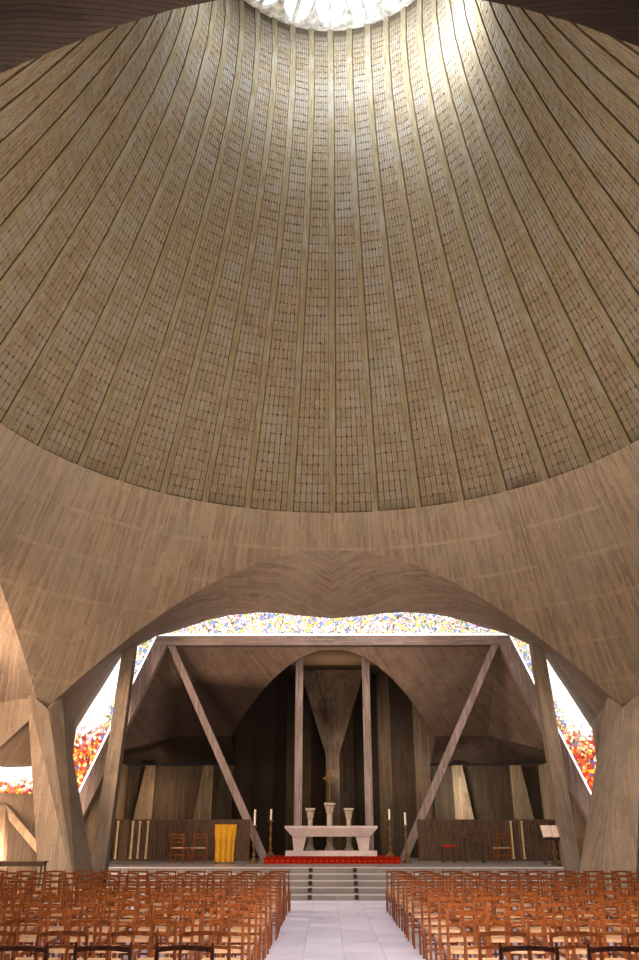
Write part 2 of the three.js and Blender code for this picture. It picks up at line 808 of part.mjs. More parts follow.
// A choir screen: a plank panel with narrow upright slots
function choirScreen(side) {
  const bottom = PLATFORM_HEIGHT + GAP;
  const top = PLATFORM_HEIGHT + SCREEN_HEIGHT;
  const back = SCREEN_Y + SCREEN_THICKNESS;
  const [x0, x1] = side < 0 ? [-SCREEN_FAR, -SCREEN_NEAR] : [SCREEN_NEAR, SCREEN_FAR];
  let screen = boxSolid(x0, x1, SCREEN_Y, back, bottom, top);
  for (let i = 0; i < SCREEN_SLOTS; i++) {
    const x = side * (SCREEN_FAR - SCREEN_END - i * SCREEN_SLOT_PITCH);
    const from = x - SCREEN_SLOT_WIDTH / 2;
    const to = x + SCREEN_SLOT_WIDTH / 2;
    const slot = boxSolid(
      from, to, SCREEN_Y - CUT_BEYOND, back + CUT_BEYOND, bottom + SCREEN_RAIL, top - SCREEN_RAIL,
    );
    screen = screen.subtract(slot);
  }
  return screen;
}

// Nave side walls and entrance

function naveSideRoof() {
  const near = GABLE_OUT + FRAME_DEPTH + GAP;
  const far = NAVE_GABLE_OUT + FRAME_DEPTH;
  const eaves = CORNER_NEAR + EAVES;
  const points = [];
  for (const lift of [0, CORNER_ROOF_THICKNESS]) {
    points.push([NAVE_SIDE_ROOF_X, near, NAVE_SIDE_ROOF_NEAR + lift], [eaves, near, CORNER_SOFFIT + lift]);
    points.push([NAVE_SIDE_ROOF_X, far, NAVE_SIDE_ROOF_FAR + lift], [eaves, far, CORNER_SOFFIT + lift]);
  }
  return hullSolid(points);
}

// The long vault gives way to the corner roofs, which are cut for the length of a short vault
function naveVault() {
  const spring = archOut(archHeight(VAULT_ARCH_END));
  const gableBack = GABLE_OUT + FRAME_DEPTH + GAP;
  const end = SOFFIT_LINE[SOFFIT_LINE.length - 1][0];
  const beside = planSolid(
    [
      [VAULT_ARCH_END, spring],
      [CORNER_NEAR + EAVES, spring],
      [CORNER_NEAR + EAVES, gableBack],
      [end, gableBack],
    ],
    0,
    RING_HEIGHT,
  );
  const vault = vaultSolid(NAVE_GABLE_OUT).subtract(beside).subtract(beside.mirror([1, 0, 0]));
  const side = naveSideRoof();
  return vault.add(side).add(side.mirror([1, 0, 0]));
}

function naveSideWall() {
  const near = GABLE_OUT + FRAME_DEPTH + GAP;
  return boxSolid(CORNER_NEAR - EAVES, CORNER_NEAR + EAVES, near, NAVE_GABLE_OUT - GAP, 0, SILL_HEIGHT);
}

function naveSideGlass() {
  const near = GABLE_OUT + FRAME_DEPTH + GAP;
  const half = GLASS_THICKNESS / 2;
  const sheet = boxSolid(
    CORNER_NEAR - half, CORNER_NEAR + half, near, NAVE_GABLE_OUT - GAP, SILL_HEIGHT + GAP, STRIP_TOP,
  );
  return cutBy(sheet, [naveSideRoof()]);
}

function entranceWall() {
  const innerTop = FRAME_HEAD_Z - BEAM_DEPTH - GAP;
  const innerHead = FRAME_HEAD_X + BEAM_DEPTH * legSlope() - LEG_WIDTH - GAP;
  const foot = FRAME_KNEE_X - LEG_WIDTH - GAP;
  const outline = [
    [-foot, 0],
    [-DOOR_HALF_WIDTH, 0],
    [-DOOR_HALF_WIDTH, DOOR_HEIGHT],
    [DOOR_HALF_WIDTH, DOOR_HEIGHT],
    [DOOR_HALF_WIDTH, 0],
    [foot, 0],
    [foot, FRAME_KNEE_Z],
    [innerHead, innerTop],
    [-innerHead, innerTop],
    [-foot, FRAME_KNEE_Z],
  ];
  return gableSolid(outline, NAVE_GABLE_OUT + ENTRANCE_SETBACK, NAVE_GABLE_OUT + WALL);
}

// A door leaf standing open at right angles inside the doorway
function doorLeaf(side) {
  const x = side * (DOOR_HALF_WIDTH - DOOR_THICKNESS / 2 - GAP);
  const half = DOOR_THICKNESS / 2;
  const hinge = NAVE_GABLE_OUT + WALL - 2 * DOOR_CLEARANCE;
  const top = DOOR_HEIGHT - DOOR_CLEARANCE;
  return boxSolid(x - half, x + half, hinge - DOOR_HALF_WIDTH, hinge, DOOR_CLEARANCE, top);
}

// Floor, platform, steps and altar

function floorSlab() {
  const gable = GABLE_OUT + FRAME_DEPTH;
  const near = CORNER_NEAR + EAVES;
  const side = ROOM_HALF_WIDTH + WALL;
  const far = ROOM_OUT + WALL;
  const naveEnd = NAVE_GABLE_OUT + FRAME_DEPTH;
  const returnFar = gable + GAP + WALL;
  const half = [
    [side, far],
    [side, returnFar],
    [ROOM_RETURN_OUT, returnFar],
    [ROOM_RETURN_OUT, gable],
    [near, gable],
    [gable, near],
    [gable, ROOM_RETURN_OUT],
    [returnFar, ROOM_RETURN_OUT],
    [returnFar, side],
    [far, side],
    [far, -side],
    [returnFar, -side],
    [returnFar, -ROOM_RETURN_OUT],
    [gable, -ROOM_RETURN_OUT],
    [gable, -near],
    [near, -gable],
    [near, -naveEnd],
  ];
  const apse = [];
  for (let i = 0; i <= APSE_FOLDS / 2; i++) {
    const angle = Math.PI / 2 - (Math.PI * i) / APSE_FOLDS;
    const a = APSE_HALF_WIDTH + APSE_WALL;
    apse.push([a * Math.cos(angle), APSE_CENTRE + APSE_DEPTH * Math.sin(angle)]);
  }
  apse.push([APSE_HALF_WIDTH + APSE_WALL, far]);
  const right = [...apse, ...half];
  const left = right.slice(1).map(([x, y]) => [-x, y]).reverse();
  return planSolid([...right, ...left].reverse(), -FLOOR_THICKNESS, 0);
}

function stepsSolid() {
  const outline = [[STEPS_FOOT_Y, GAP]];
  for (let i = 0; i < STEP_COUNT - 1; i++) {
    outline.push([STEPS_FOOT_Y + i * TREAD, (i + 1) * RISER]);
    outline.push([STEPS_FOOT_Y + (i + 1) * TREAD, (i + 1) * RISER]);
  }
  outline.push([STEPS_FOOT_Y + (STEP_COUNT - 1) * TREAD, GAP]);
  const shape = new THREE.Shape(outline.map(([y, z]) => new THREE.Vector2(y, z)));
  const geometry = new THREE.ExtrudeGeometry(shape, { depth: 2 * STEPS_HALF_WIDTH, bevelEnabled: false });
  geometry.rotateX(Math.PI / 2);
  geometry.rotateZ(Math.PI / 2);
  geometry.translate(-STEPS_HALF_WIDTH, 0, 0);
  return solidOf(geometry);
}

function platformSolid() {
  const front = STEPS_FOOT_Y + (STEP_COUNT - 1) * TREAD + GAP;
  const legs = FRAME_KNEE_X - LEG_WIDTH - PLATFORM_CLEARANCE;
  const side = ROOM_HALF_WIDTH - PLATFORM_CLEARANCE;
  const half = [
    [PLATFORM_BESIDE_PIER[0][0], front],
    ...PLATFORM_BESIDE_PIER,
    [legs, PLATFORM_BESIDE_LEG],
    [legs, GABLE_OUT + FRAME_DEPTH],
    [side, GABLE_OUT + FRAME_DEPTH],
    [side, ROOM_OUT - PLATFORM_CLEARANCE],
    ...PLATFORM_IN_APSE,
  ];
  const other = half.map(([x, y]) => [-x, y]).reverse();
  return planSolid([...half, ...other], GAP, PLATFORM_HEIGHT);
}

function altarDais() {
  const top = PLATFORM_HEIGHT + DAIS_HEIGHT;
  return boxSolid(DAIS_LEFT, DAIS_RIGHT, DAIS_FRONT, DAIS_BACK, PLATFORM_HEIGHT + GAP, top);
}

// A thick table slab with slanting edges, on two tapered supports over a long plinth
function altarSolid() {
  const dais = PLATFORM_HEIGHT + DAIS_HEIGHT;
  const plinthTop = dais + ALTAR_PLINTH;
  const tableTop = dais + ALTAR_HEIGHT;
  const tableFoot = tableTop - ALTAR_SLAB;
  const x = ALTAR_MIDDLE_X;
  const y = ALTAR_MIDDLE_Y;
  const [plinthX, plinthY] = PLINTH_HALF;
  const plinth = boxSolid(x - plinthX, x + plinthX, y - plinthY, y + plinthY, dais + GAP, plinthTop);
  const level = ([halfX, halfY], middleX, z) => [
    [middleX - halfX, y - halfY, z],
    [middleX + halfX, y - halfY, z],
    [middleX + halfX, y + halfY, z],
    [middleX - halfX, y + halfY, z],
  ];
  const support = (side) => hullSolid([
    ...level(SUPPORT_FOOT_HALF, x + side * SUPPORT_FOOT_X, plinthTop - 1),
    ...level(SUPPORT_HEAD_HALF, x + side * SUPPORT_HEAD_X, tableFoot + 1),
  ]);
  const slab = hullSolid([
    ...level(SLAB_UNDER_HALF, x, tableFoot),
    ...level(SLAB_HALF, x, tableTop - ALTAR_EDGE),
    ...level(SLAB_HALF, x, tableTop),
  ]);
  return plinth.add(support(-1)).add(support(1)).add(slab);
}

// The frame of the open top: a ring, thin spokes to an inner ring, and between each two spokes a
// pointed gusset whose sides curve into the ring
function oculusStar() {
  const rim = innerRadius(OCULUS_HEIGHT) + LANTERN_WALL;
  const ring = innerRadius(OCULUS_HEIGHT) - STAR_RING;
  const hub = STAR_EYE + STAR_RING;
  const circle = (radius) => Array.from({ length: 2 * RIB_COUNT }, (_, i) => {
    const angle = (Math.PI * i) / RIB_COUNT;
    return new THREE.Vector2(radius * Math.cos(angle), radius * Math.sin(angle));
  });
  const shape = new THREE.Shape(circle(rim));
  shape.holes.push(new THREE.Path(circle(STAR_EYE)));
  for (let i = 0; i < STAR_SPOKES; i++) {
    const at = (radius, share) => {
      const clear = (STAR_SPOKE_WIDTH / 2 / radius) * (1 - 2 * share);
      const angle = ((i + share) * 2 * Math.PI) / STAR_SPOKES + clear;
      return new THREE.Vector2(radius * Math.cos(angle), radius * Math.sin(angle));
    };
    const side = (from, bend, to) => new THREE.QuadraticBezierCurve(from, bend, to).getPoints(5);
    shape.holes.push(new THREE.Path([
      at(hub, 0),
      at(ring, 0),
      ...side(at(ring, 0.12), at(ring - STAR_BEND, 0.45), at(STAR_TIP, 0.5)),
      ...side(at(STAR_TIP, 0.5), at(ring - STAR_BEND, 0.55), at(ring, 0.88)).slice(1),
      at(ring, 1),
      at(hub, 1),
      at(hub, 0.5),
    ]));
  }
  const geometry = new THREE.ExtrudeGeometry(shape, { depth: STAR_DEPTH, bevelEnabled: false });
  geometry.translate(0, 0, OCULUS_HEIGHT + 2 * GAP);
  return solidOf(geometry);
}

// Assembly

const church = new THREE.Group();
church.position.z = FLOOR_THICKNESS;

function place(name, solid, material, quarterTurns = 0) {
  const mesh = new THREE.Mesh(geometryOf(solid), material);
  mesh.name = name;
  mesh.rotation.z = (quarterTurns * Math.PI) / 2;
  church.add(mesh);
}

// In quarter turns from the sanctuary
const ARMS = ["sanctuary", "left_transept", "nave", "right_transept"];
const NAVE_TURNS = 2;
const CORNERS = ["sanctuary_right", "sanctuary_left", "nave_left", "nave_right"];

const lantern = solidOf(lanternQuarter());
const skirt = skirtCorner();
const lowWall = cornerWall();
const strip = cornerGlass(skirt);
const lowRoof = roomRoof();
const shortVault = vaultSolid(GABLE_OUT);
const longVault = naveVault();
const vaultOf = (turns) => (turns === NAVE_TURNS ? longVault : shortVault);
const skirts = [skirt, skirt.rotate([0, 0, 90])];

CORNERS.forEach((corner, turns) => {
  const besideVault = vaultOf((turns + 3) % 4).rotate([0, 0, -90]);
  place("lantern_wall_" + corner, lantern, panels, turns);
  place("skirt_" + corner, skirt, concrete, turns);
  place("pier_" + corner, pierCluster([skirt, vaultOf(turns), besideVault]), concrete, turns);
  place("low_wall_" + corner, lowWall, concrete, turns);
  place("glass_strip_" + corner, strip, glass, turns);
});

ARMS.forEach((arm, turns) => {
  const gableOut = turns === NAVE_TURNS ? NAVE_GABLE_OUT : GABLE_OUT;
  const frame = turns === 0 ? sanctuaryFrame() : frameSolid(gableOut);
  place(arm + "_vault", vaultOf(turns), darkConcrete, turns);
  place(arm + "_gable_frame", frame, concrete, turns);
  place(arm + "_gable_glass", gableGlass(gableOut, [vaultOf(turns), ...skirts]), glass, turns);
});

place("floor_slab", floorSlab(), marble);
place("sanctuary_platform", platformSolid(), marble);
place("sanctuary_steps", stepsSolid(), marble);
place("altar", altarSolid(), whiteStone);
place("oculus_star", oculusStar(), concrete);

const farCorner = APSE_HALF_WIDTH + APSE_WALL + GAP;
const apseFoot = boxSolid(-farCorner, farCorner, APSE_CENTRE - GAP, APSE_FAR, 0, APSE_CEILING);
place("sanctuary_low_roof", lowRoof.subtract(apseArch()).subtract(apseFoot), darkConcrete);
place("left_transept_low_roof", lowRoof, darkConcrete, 1);
place("right_transept_low_roof", lowRoof, darkConcrete, 3);
const [leftWall, rightWall] = sanctuaryWalls();
place("sanctuary_wall_left", leftWall, darkConcrete);
place("sanctuary_wall_right", rightWall, darkConcrete);
place("left_transept_wall", roomWalls(0)[0], darkConcrete, 1);
place("right_transept_wall", roomWalls(0)[0], darkConcrete, 3);
const cheek = apseCheek(lowRoof);
place("apse_wall", apseWallSolid().add(cheek).add(cheek.mirror([1, 0, 0])), darkConcrete);
place("apse_roof", cutBy(apseRoofSolid(), [lowRoof], [3 * GAP]), darkConcrete);
place("apse_pillar", apsePillar(), concrete);
for (const [side, word] of [[-1, "left"], [1, "right"]]) {
  place("apse_post_" + word, apsePost(side), concrete);
  place("choir_screen_" + word, choirScreen(side), darkWood);
  place("door_leaf_" + word, doorLeaf(-side), darkWood, 2);
}
place("altar_dais", altarDais(), carpet);
const sideWall = naveSideWall();
const sideGlass = naveSideGlass();
place("nave_wall_left", sideWall, concrete, 2);
place("nave_wall_right", sideWall.mirror([1, 0, 0]), concrete, 2);
place("nave_glass_left", sideGlass, glass, 2);
place("nave_glass_right", sideGlass.mirror([1, 0, 0]), glass, 2);
place("entrance_wall", entranceWall(), concrete, 2);

export default church;
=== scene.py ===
import math
import random

import bpy
from mathutils import Matrix, Vector


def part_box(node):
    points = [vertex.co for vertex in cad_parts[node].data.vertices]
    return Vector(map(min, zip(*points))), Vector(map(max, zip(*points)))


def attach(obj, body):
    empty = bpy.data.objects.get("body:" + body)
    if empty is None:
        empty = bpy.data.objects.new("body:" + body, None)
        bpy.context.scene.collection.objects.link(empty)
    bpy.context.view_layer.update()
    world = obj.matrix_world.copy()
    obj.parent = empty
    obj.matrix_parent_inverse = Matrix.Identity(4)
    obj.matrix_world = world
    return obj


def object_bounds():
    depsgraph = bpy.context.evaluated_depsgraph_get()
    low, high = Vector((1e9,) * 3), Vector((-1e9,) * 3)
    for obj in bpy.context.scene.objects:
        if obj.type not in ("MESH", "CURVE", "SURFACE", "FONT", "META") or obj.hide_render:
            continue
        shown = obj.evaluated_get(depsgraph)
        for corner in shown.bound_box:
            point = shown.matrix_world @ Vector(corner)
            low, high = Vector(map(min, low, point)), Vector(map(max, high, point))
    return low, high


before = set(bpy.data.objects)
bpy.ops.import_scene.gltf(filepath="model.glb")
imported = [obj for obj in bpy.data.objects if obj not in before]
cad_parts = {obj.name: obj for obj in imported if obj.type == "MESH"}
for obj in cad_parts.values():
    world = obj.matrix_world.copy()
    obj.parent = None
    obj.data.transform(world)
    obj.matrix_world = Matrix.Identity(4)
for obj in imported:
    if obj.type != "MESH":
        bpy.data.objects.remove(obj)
cad_low, cad_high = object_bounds()


# The view: a standing visitor's eye on the nave's middle line, looking up into the tower.
# The lamps are soft and hidden: daylight from the tower's top, a pale sky outside, and a fill
# under the roofs, so that every board mark shows.

EYE_HEIGHT = 1.65
EYE_X = -0.246
EYE_Y = -16.706
LOOK_UP = 24.0
LOOK_LEFT = 0.477
FOCAL_LENGTH = 29.65
VIEW_REACH = 400.0
FLOOR_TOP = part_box("floor_slab")[1].z
WARM_WHITE = (1.0, 0.90, 0.77)
DAYLIGHT = (0.74, 0.89, 1.08)
AMBER = (1.0, 0.72, 0.48)
PALE_AMBER = (1.0, 0.86, 0.66)
SKY_COLOUR = (0.86, 0.88, 0.92, 1.0)
SKY_STRENGTH = 1.3
SUN_STRENGTH = 1.6
SUN_SPREAD = 25
SUN_TURN = (38, 12, -35)

camera = bpy.data.objects.new("view_from_nave", bpy.data.cameras.new("view_from_nave"))
bpy.context.scene.collection.objects.link(camera)
camera.location = (EYE_X, EYE_Y, FLOOR_TOP + EYE_HEIGHT)
camera.rotation_euler = (math.radians(90 + LOOK_UP), 0.0, math.radians(LOOK_LEFT))
camera.data.lens = FOCAL_LENGTH
camera.data.clip_end = VIEW_REACH
bpy.context.scene.camera = camera
bpy.context.scene.view_settings.view_transform = "Standard"

sky = bpy.data.worlds.new("pale_sky")
sky.use_nodes = True
sky.node_tree.nodes["Background"].inputs["Color"].default_value = SKY_COLOUR
sky.node_tree.nodes["Background"].inputs["Strength"].default_value = SKY_STRENGTH
bpy.context.scene.world = sky


def soft_lamp(name, place, aim, width, watts, colour, spread=180):
    """A large square lamp without a visible face."""
    lamp = bpy.data.objects.new(name, bpy.data.lights.new(name, "AREA"))
    bpy.context.scene.collection.objects.link(lamp)
    lamp.data.size = width
    lamp.data.energy = watts
    lamp.data.color = colour
    lamp.data.spread = math.radians(spread)
    lamp.location = place
    lamp.rotation_mode = "QUATERNION"
    lamp.rotation_quaternion = (Vector(aim) - Vector(place)).to_track_quat("-Z", "Y")
    lamp.visible_camera = False
    lamp.visible_glossy = False
    return lamp


soft_lamp("tower_daylight", (0.4, -1.0, 28.8), (2.2, 4.2, 28.2), 3.0, 1400, DAYLIGHT, 115)
soft_lamp("sun_patch", (2.4, 0.5, 27.7), (4.6, 1.7, 26.3), 1.2, 640, DAYLIGHT, 130)
soft_lamp("sky_patch", (0.4, -0.6, 28.3), (-4.2, 2.0, 26.6), 1.6, 500, DAYLIGHT, 110)
soft_lamp("tower_down", (0.0, 0.0, 28.6), (0.0, 2.0, 0.0), 5.0, 480, DAYLIGHT, 90)
soft_lamp("tower_fill", (0.0, -2.0, 5.0), (0.0, 1.0, 30.0), 11.0, 2350, WARM_WHITE, 120)
soft_lamp("nave_fill", (1.0, -9.6, 5.4), (0.4, 8.0, 4.8), 6.0, 1450, WARM_WHITE)
soft_lamp("sanctuary_fill", (2.0, 9.0, 7.4), (0.5, 13.0, 0.5), 4.0, 150, WARM_WHITE)
soft_lamp("apse_glow", (-0.9, 15.4, 4.2), (3.4, 17.0, 5.0), 0.6, 60, WARM_WHITE, 100)
soft_lamp("crown_glow", (0.0, 14.6, 6.2), (0.0, 14.9, 8.2), 0.8, 34, AMBER, 140)
soft_lamp("left_wall_glow", (-9.4, 8.2, 1.9), (-10.4, 10.8, 1.9), 0.8, 135, AMBER)
soft_lamp("choir_lamp_left", (-6.4, 14.3, 3.2), (-7.3, 15.8, 2.6), 0.6, 46, AMBER)
soft_lamp("choir_lamp_right", (4.2, 14.4, 3.4), (5.6, 15.8, 2.6), 0.6, 60, WARM_WHITE)
soft_lamp("left_glow", (-12.0, 4.0, 6.0), (-8.0, 8.0, 3.0), 3.0, 1350, AMBER)
soft_lamp("left_vault_glow", (-11.0, -1.0, 3.4), (-9.5, 2.5, 8.5), 3.0, 460, PALE_AMBER)
soft_lamp("right_glow", (12.0, 4.0, 6.0), (8.0, 8.0, 3.0), 3.0, 330, AMBER)

sun = bpy.data.objects.new("outside_sun", bpy.data.lights.new("outside_sun", "SUN"))
bpy.context.scene.collection.objects.link(sun)
sun.data.energy = SUN_STRENGTH
sun.data.angle = math.radians(SUN_SPREAD)
sun.rotation_euler = [math.radians(angle) for angle in SUN_TURN]


# The lower shell: a flared ring of smooth raw concrete on four feet, cast against upright boards
# in lifts of 1.2 m, so each lift ends in a pale line and each board leaves its own stripe.
# Everything else in the building is cast the same way, so its finish is defined here.

LIFT_HEIGHT = 1.215
LIFT_TOP = FLOOR_TOP + 11.0
RING_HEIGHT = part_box("lantern_wall_sanctuary_right")[0].z
BOARD_WIDTH = 0.07
BOARD_LENGTH = 1.1
BOARD_SEAM = 0.10
SHELL_RADIUS = 9.8
SHELL_LIGHT = (0.262, 0.188, 0.125, 1.0)
SHELL_DARK = (0.120, 0.086, 0.059, 1.0)
SHELL_STAIN = (0.205, 0.180, 0.140, 1.0)
LIFT_LINE = (0.330, 0.240, 0.165, 1.0)
# Near-black, for painted shade on the concrete.
SHADE_BLACK = (0.016, 0.010, 0.008, 1.0)


class Reading:
    """A number, place or colour read at each point of a surface. Sums with it give new readings."""

    def __init__(self, tree, socket):
        self.tree = tree
        self.socket = socket

    def __add__(self, other):
        return reckon("ADD", self, other)

    def __sub__(self, other):
        return reckon("SUBTRACT", self, other)

    def __rsub__(self, other):
        return reckon("SUBTRACT", other, self)

    def __mul__(self, other):
        return reckon("MULTIPLY", self, other)

    def __truediv__(self, other):
        return reckon("DIVIDE", self, other)


def feed(socket, value):
    """Links a reading to a socket, or sets a plain number or colour on it."""
    if isinstance(value, Reading):
        value.tree.links.new(value.socket, socket)
    else:
        socket.default_value = value


def add_step(kind, *values):
    """A new node in the tree of the readings among the values, with the values on its sockets."""
    tree = next(value.tree for value in values if isinstance(value, Reading))
    node = tree.nodes.new(kind)
    for socket, value in zip(node.inputs, values):
        feed(socket, value)
    return tree, node


def reckon(operation, *values):
    """One sum on readings or plain numbers."""
    tree, node = add_step("ShaderNodeMath", *values)
    node.operation = operation
    return Reading(tree, node.outputs[0])


def point(x, y, z):
    """A place made of three numbers or readings."""
    tree, node = add_step("ShaderNodeCombineXYZ", x, y, z)
    return Reading(tree, node.outputs[0])


def split(vector):
    """The three parts of a place, direction or colour."""
    tree, node = add_step("ShaderNodeSeparateXYZ", vector)
    return [Reading(tree, output) for output in node.outputs]


def look_up(tree, kind, output):
    """A reading that Blender gives at each point, such as its place."""
    return Reading(tree, tree.nodes.new(kind).outputs[output])


def facing(tree):
    """Which way the surface faces there, as its parts towards right, front to back, and up."""
    return split(look_up(tree, "ShaderNodeNewGeometry", "True Normal"))


def cloud(place, scale, detail=3.0, roughness=0.55, warp=0.0):
    """Soft noise from 0 to 1."""
    tree, node = add_step("ShaderNodeTexNoise", place)
    node.inputs["Scale"].default_value = scale
    node.inputs["Detail"].default_value = detail
    node.inputs["Roughness"].default_value = roughness
    node.inputs["Distortion"].default_value = warp
    return Reading(tree, node.outputs["Fac"])


def dice(place):
    """One random number per whole-number place."""
    tree, node = add_step("ShaderNodeTexWhiteNoise", place)
    return Reading(tree, node.outputs["Value"])


def band(value, start, end, low=0.0, high=1.0):
    """Turns start to end into low to high, and holds outside."""
    tree, node = add_step("ShaderNodeMapRange", value, start, end, low, high)
    return Reading(tree, node.outputs[0])


def blend(share, first, second, way="MIX"):
    """Mixes two colours."""
    tree, node = add_step("ShaderNodeMix", share)
    node.data_type = "RGBA"
    node.blend_type = way
    feed(node.inputs[6], first)
    feed(node.inputs[7], second)
    return Reading(tree, node.outputs[2])


def new_finish(name, roughness, shine=0.3):
    """A plain finish, its surface, and the place in the building of each point of it, in metres."""
    finish = bpy.data.materials.new(name)
    finish.use_nodes = True
    tree = finish.node_tree
    surface = tree.nodes["Principled BSDF"]
    surface.inputs["Roughness"].default_value = roughness
    surface.inputs["Specular IOR Level"].default_value = shine
    return finish, surface, look_up(tree, "ShaderNodeTexCoord", "Object")


def paint(surface, colour):
    """Sets the surface's colour."""
    feed(surface.inputs["Base Color"], colour)


def relief(surface, height, depth, strength=1.0):
    """Bump from a height between 0 and 1, depth in metres."""
    node = height.tree.nodes.new("ShaderNodeBump")
    node.inputs["Distance"].default_value = depth
    node.inputs["Strength"].default_value = strength
    feed(node.inputs["Height"], height)
    feed(surface.inputs["Normal"], Reading(height.tree, node.outputs[0]))


def board_stripes(across, along, width=BOARD_WIDTH, length=BOARD_LENGTH):
    """Tone of each board, its grain, and the seams between boards, all from 0 to 1."""
    count = across / width
    board = reckon("FLOOR", count)
    shift = dice(point(board, 3.0, 7.0)) * length
    run = reckon("FLOOR", (along + shift) / length)
    tone = dice(point(board, run, 1.0))
    fine = across * (2.6 / width)
    stretched = point(fine, along * 3.2, run)
    grain = cloud(stretched, 1.0, 3.0, 0.6)
    edge = reckon("PINGPONG", count, 0.5)
    seam = band(edge, 0.0, BOARD_SEAM, 1.0, 0.0)
    return tone, grain, seam


def concrete_finish(
    name, light, dark, directions, lifts=False, board=BOARD_WIDTH, stains=0.45, painted_shade=None, marks=1.0
):
    """Board-marked concrete; directions gives the across and along places of its boards, and a given shade
    mask darkens it with painted shade.
    """
    finish, surface, place = new_finish(name, 0.88, 0.22)
    x, y, z = split(place)
    across, along = directions(x, y, z)
    tone, grain, seam = board_stripes(across, along, board)
    plain = cloud(place, 3.5, 4.0, 0.7) * (1.06 * (1.0 - marks))
    striped = tone * (0.36 * marks) + grain * (0.7 * marks)
    mixed = striped + plain
    colour = blend(band(mixed, 0.2, 0.84), dark, light)
    damp = band(cloud(place, 0.55, 5.0, 0.68, 0.4), 0.44, 0.66, 0.0, stains)
    colour = blend(damp, colour, SHELL_STAIN)
    warm = band(cloud(place, 0.8, 4.0, 0.6), 0.52, 0.7, 0.0, 0.45)
    colour = blend(warm, colour, light)
    pits = band(cloud(place, 9.0, 2.0, 0.5), 0.36, 0.26, 0.0, 0.45)
    colour = blend(pits, colour, dark)
    colour = blend(seam * 0.5, colour, dark, "MULTIPLY")
    if lifts:
        colour = add_lift_lines(colour, place, z, dark)
    # Painted shade: the given mask blends the colour towards near-black.
    if painted_shade:
        colour = blend(painted_shade(x, y, z), colour, SHADE_BLACK)
    paint(surface, colour)
    rise = mixed * 0.7 - seam * 0.5
    relief(surface, rise, 0.01)
    return finish


def add_lift_lines(colour, place, z, dark):
    """A pale ragged line where each lift ends, with a fine dark joint in it."""
    level = (z - LIFT_TOP) / LIFT_HEIGHT
    wander = cloud(place, 0.9) * 0.06
    off = reckon("PINGPONG", level + wander, 0.5)
    below_ring = band(z, LIFT_TOP + 0.4, LIFT_TOP + 0.5, 1.0, 0.0)
    broken = band(cloud(place, 0.9, 4.0, 0.7), 0.38, 0.58)
    line = band(off, 0.01, 0.05, 0.5, 0.0) * broken
    colour = blend(line * below_ring, colour, LIFT_LINE)
    joint = band(off, 0.0, 0.012, 0.5, 0.0) * below_ring
    return blend(joint, colour, dark)


def round_tower_boards(x, y, z):
    """Boards stand upright round the tower."""
    angle = reckon("ARCTAN2", y, x)
    return angle * SHELL_RADIUS, z


def dress(finish, *names):
    """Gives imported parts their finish."""
    for name in names:
        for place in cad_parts[name].material_slots:
            place.material = finish


CORNERS = ("sanctuary_right", "sanctuary_left", "nave_left", "nave_right")
ARMS = ("sanctuary", "left_transept", "nave", "right_transept")

shell_concrete = concrete_finish("shell_concrete", SHELL_LIGHT, SHELL_DARK, round_tower_boards, lifts=True)
dress(shell_concrete, *["skirt_" + corner for corner in CORNERS])


# The tower wall: forty smooth ribs with hollow clay-like panels between them, laid in courses of
# 0.31 m. Each course is six narrow round-ended staves, with oval sound holes where some ends meet.
# The panels are bedded against the wall between the ribs, with an open joint by each rib. The bed
# is painted near-black, as painted shade deep in these joints and in the sound holes.

RIB_COUNT = 40
BAY = 2 * math.pi / RIB_COUNT
RIB_HALF = 0.11
COURSE_HEIGHT = 0.31
STAVES = 6
STAVE_JOINT = 0.004
COURSE_JOINT = 0.003
OPEN_JOINT = 0.035
STAVE_PROUD = 0.016
STAVE_BED = 0.03
STAVE_EDGE = 0.004
STAVE_WOBBLE = 0.006
COURSE_WAVE = 0.012
STAVE_NARROW = (0.02, 0.16)
CORNER_WANDER = 0.06
STAVE_ROUND = 0.032
HOLE_SIZE = 0.052
HOLE_SHARE = 0.24
THROAT_RADIUS = 4.621
THROAT_HEIGHT = 28.46
FLARE = 0.5333
WALL_SET_BACK = 0.07
WALL_FLATS = 9
TOWER_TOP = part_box("lantern_wall_sanctuary_right")[1].z
TOP_BED = 0.16
FIRST_COURSE = 0.03
STAVE_LIGHT = (0.235, 0.168, 0.100, 1.0)
STAVE_DARK = (0.074, 0.049, 0.029, 1.0)
STAVE_GREY = (0.160, 0.135, 0.104, 1.0)
STAVE_GREEN = (0.104, 0.088, 0.044, 1.0)
RIB_LIGHT = (0.196, 0.145, 0.080, 1.0)
RIB_DARK = (0.070, 0.050, 0.026, 1.0)
BED_DARK = (0.038, 0.026, 0.015, 1.0)


def shell_radius(z):
    """Inner radius of the tower's flared wall at a height in the building."""
    return math.hypot(THROAT_RADIUS, FLARE * (THROAT_HEIGHT + FLOOR_TOP - z))


def flat_radius(z):
    """The same on the wall's flat courses, which the panels are bedded on."""
    share = (z - RING_HEIGHT) / (TOWER_TOP - RING_HEIGHT) * WALL_FLATS
    lower = min(int(share), WALL_FLATS - 1)
    rise = (TOWER_TOP - RING_HEIGHT) / WALL_FLATS
    below = shell_radius(RING_HEIGHT + lower * rise)
    above = shell_radius(RING_HEIGHT + (lower + 1) * rise)
    return below + (above - below) * (share - lower) + WALL_SET_BACK


def bay_point(bay, share, z, proud):
    """A point between two ribs; share goes from the right rib's side to the left one's."""
    radius = flat_radius(z)
    right = bay * BAY + RIB_HALF / radius
    left = (bay + 1) * BAY - (RIB_HALF + OPEN_JOINT) / radius
    start = Vector((math.cos(right), math.sin(right)))
    end = Vector((math.cos(left), math.sin(left)))
    spot = start.lerp(end, share) * (radius - proud)
    return (spot.x, spot.y, z)


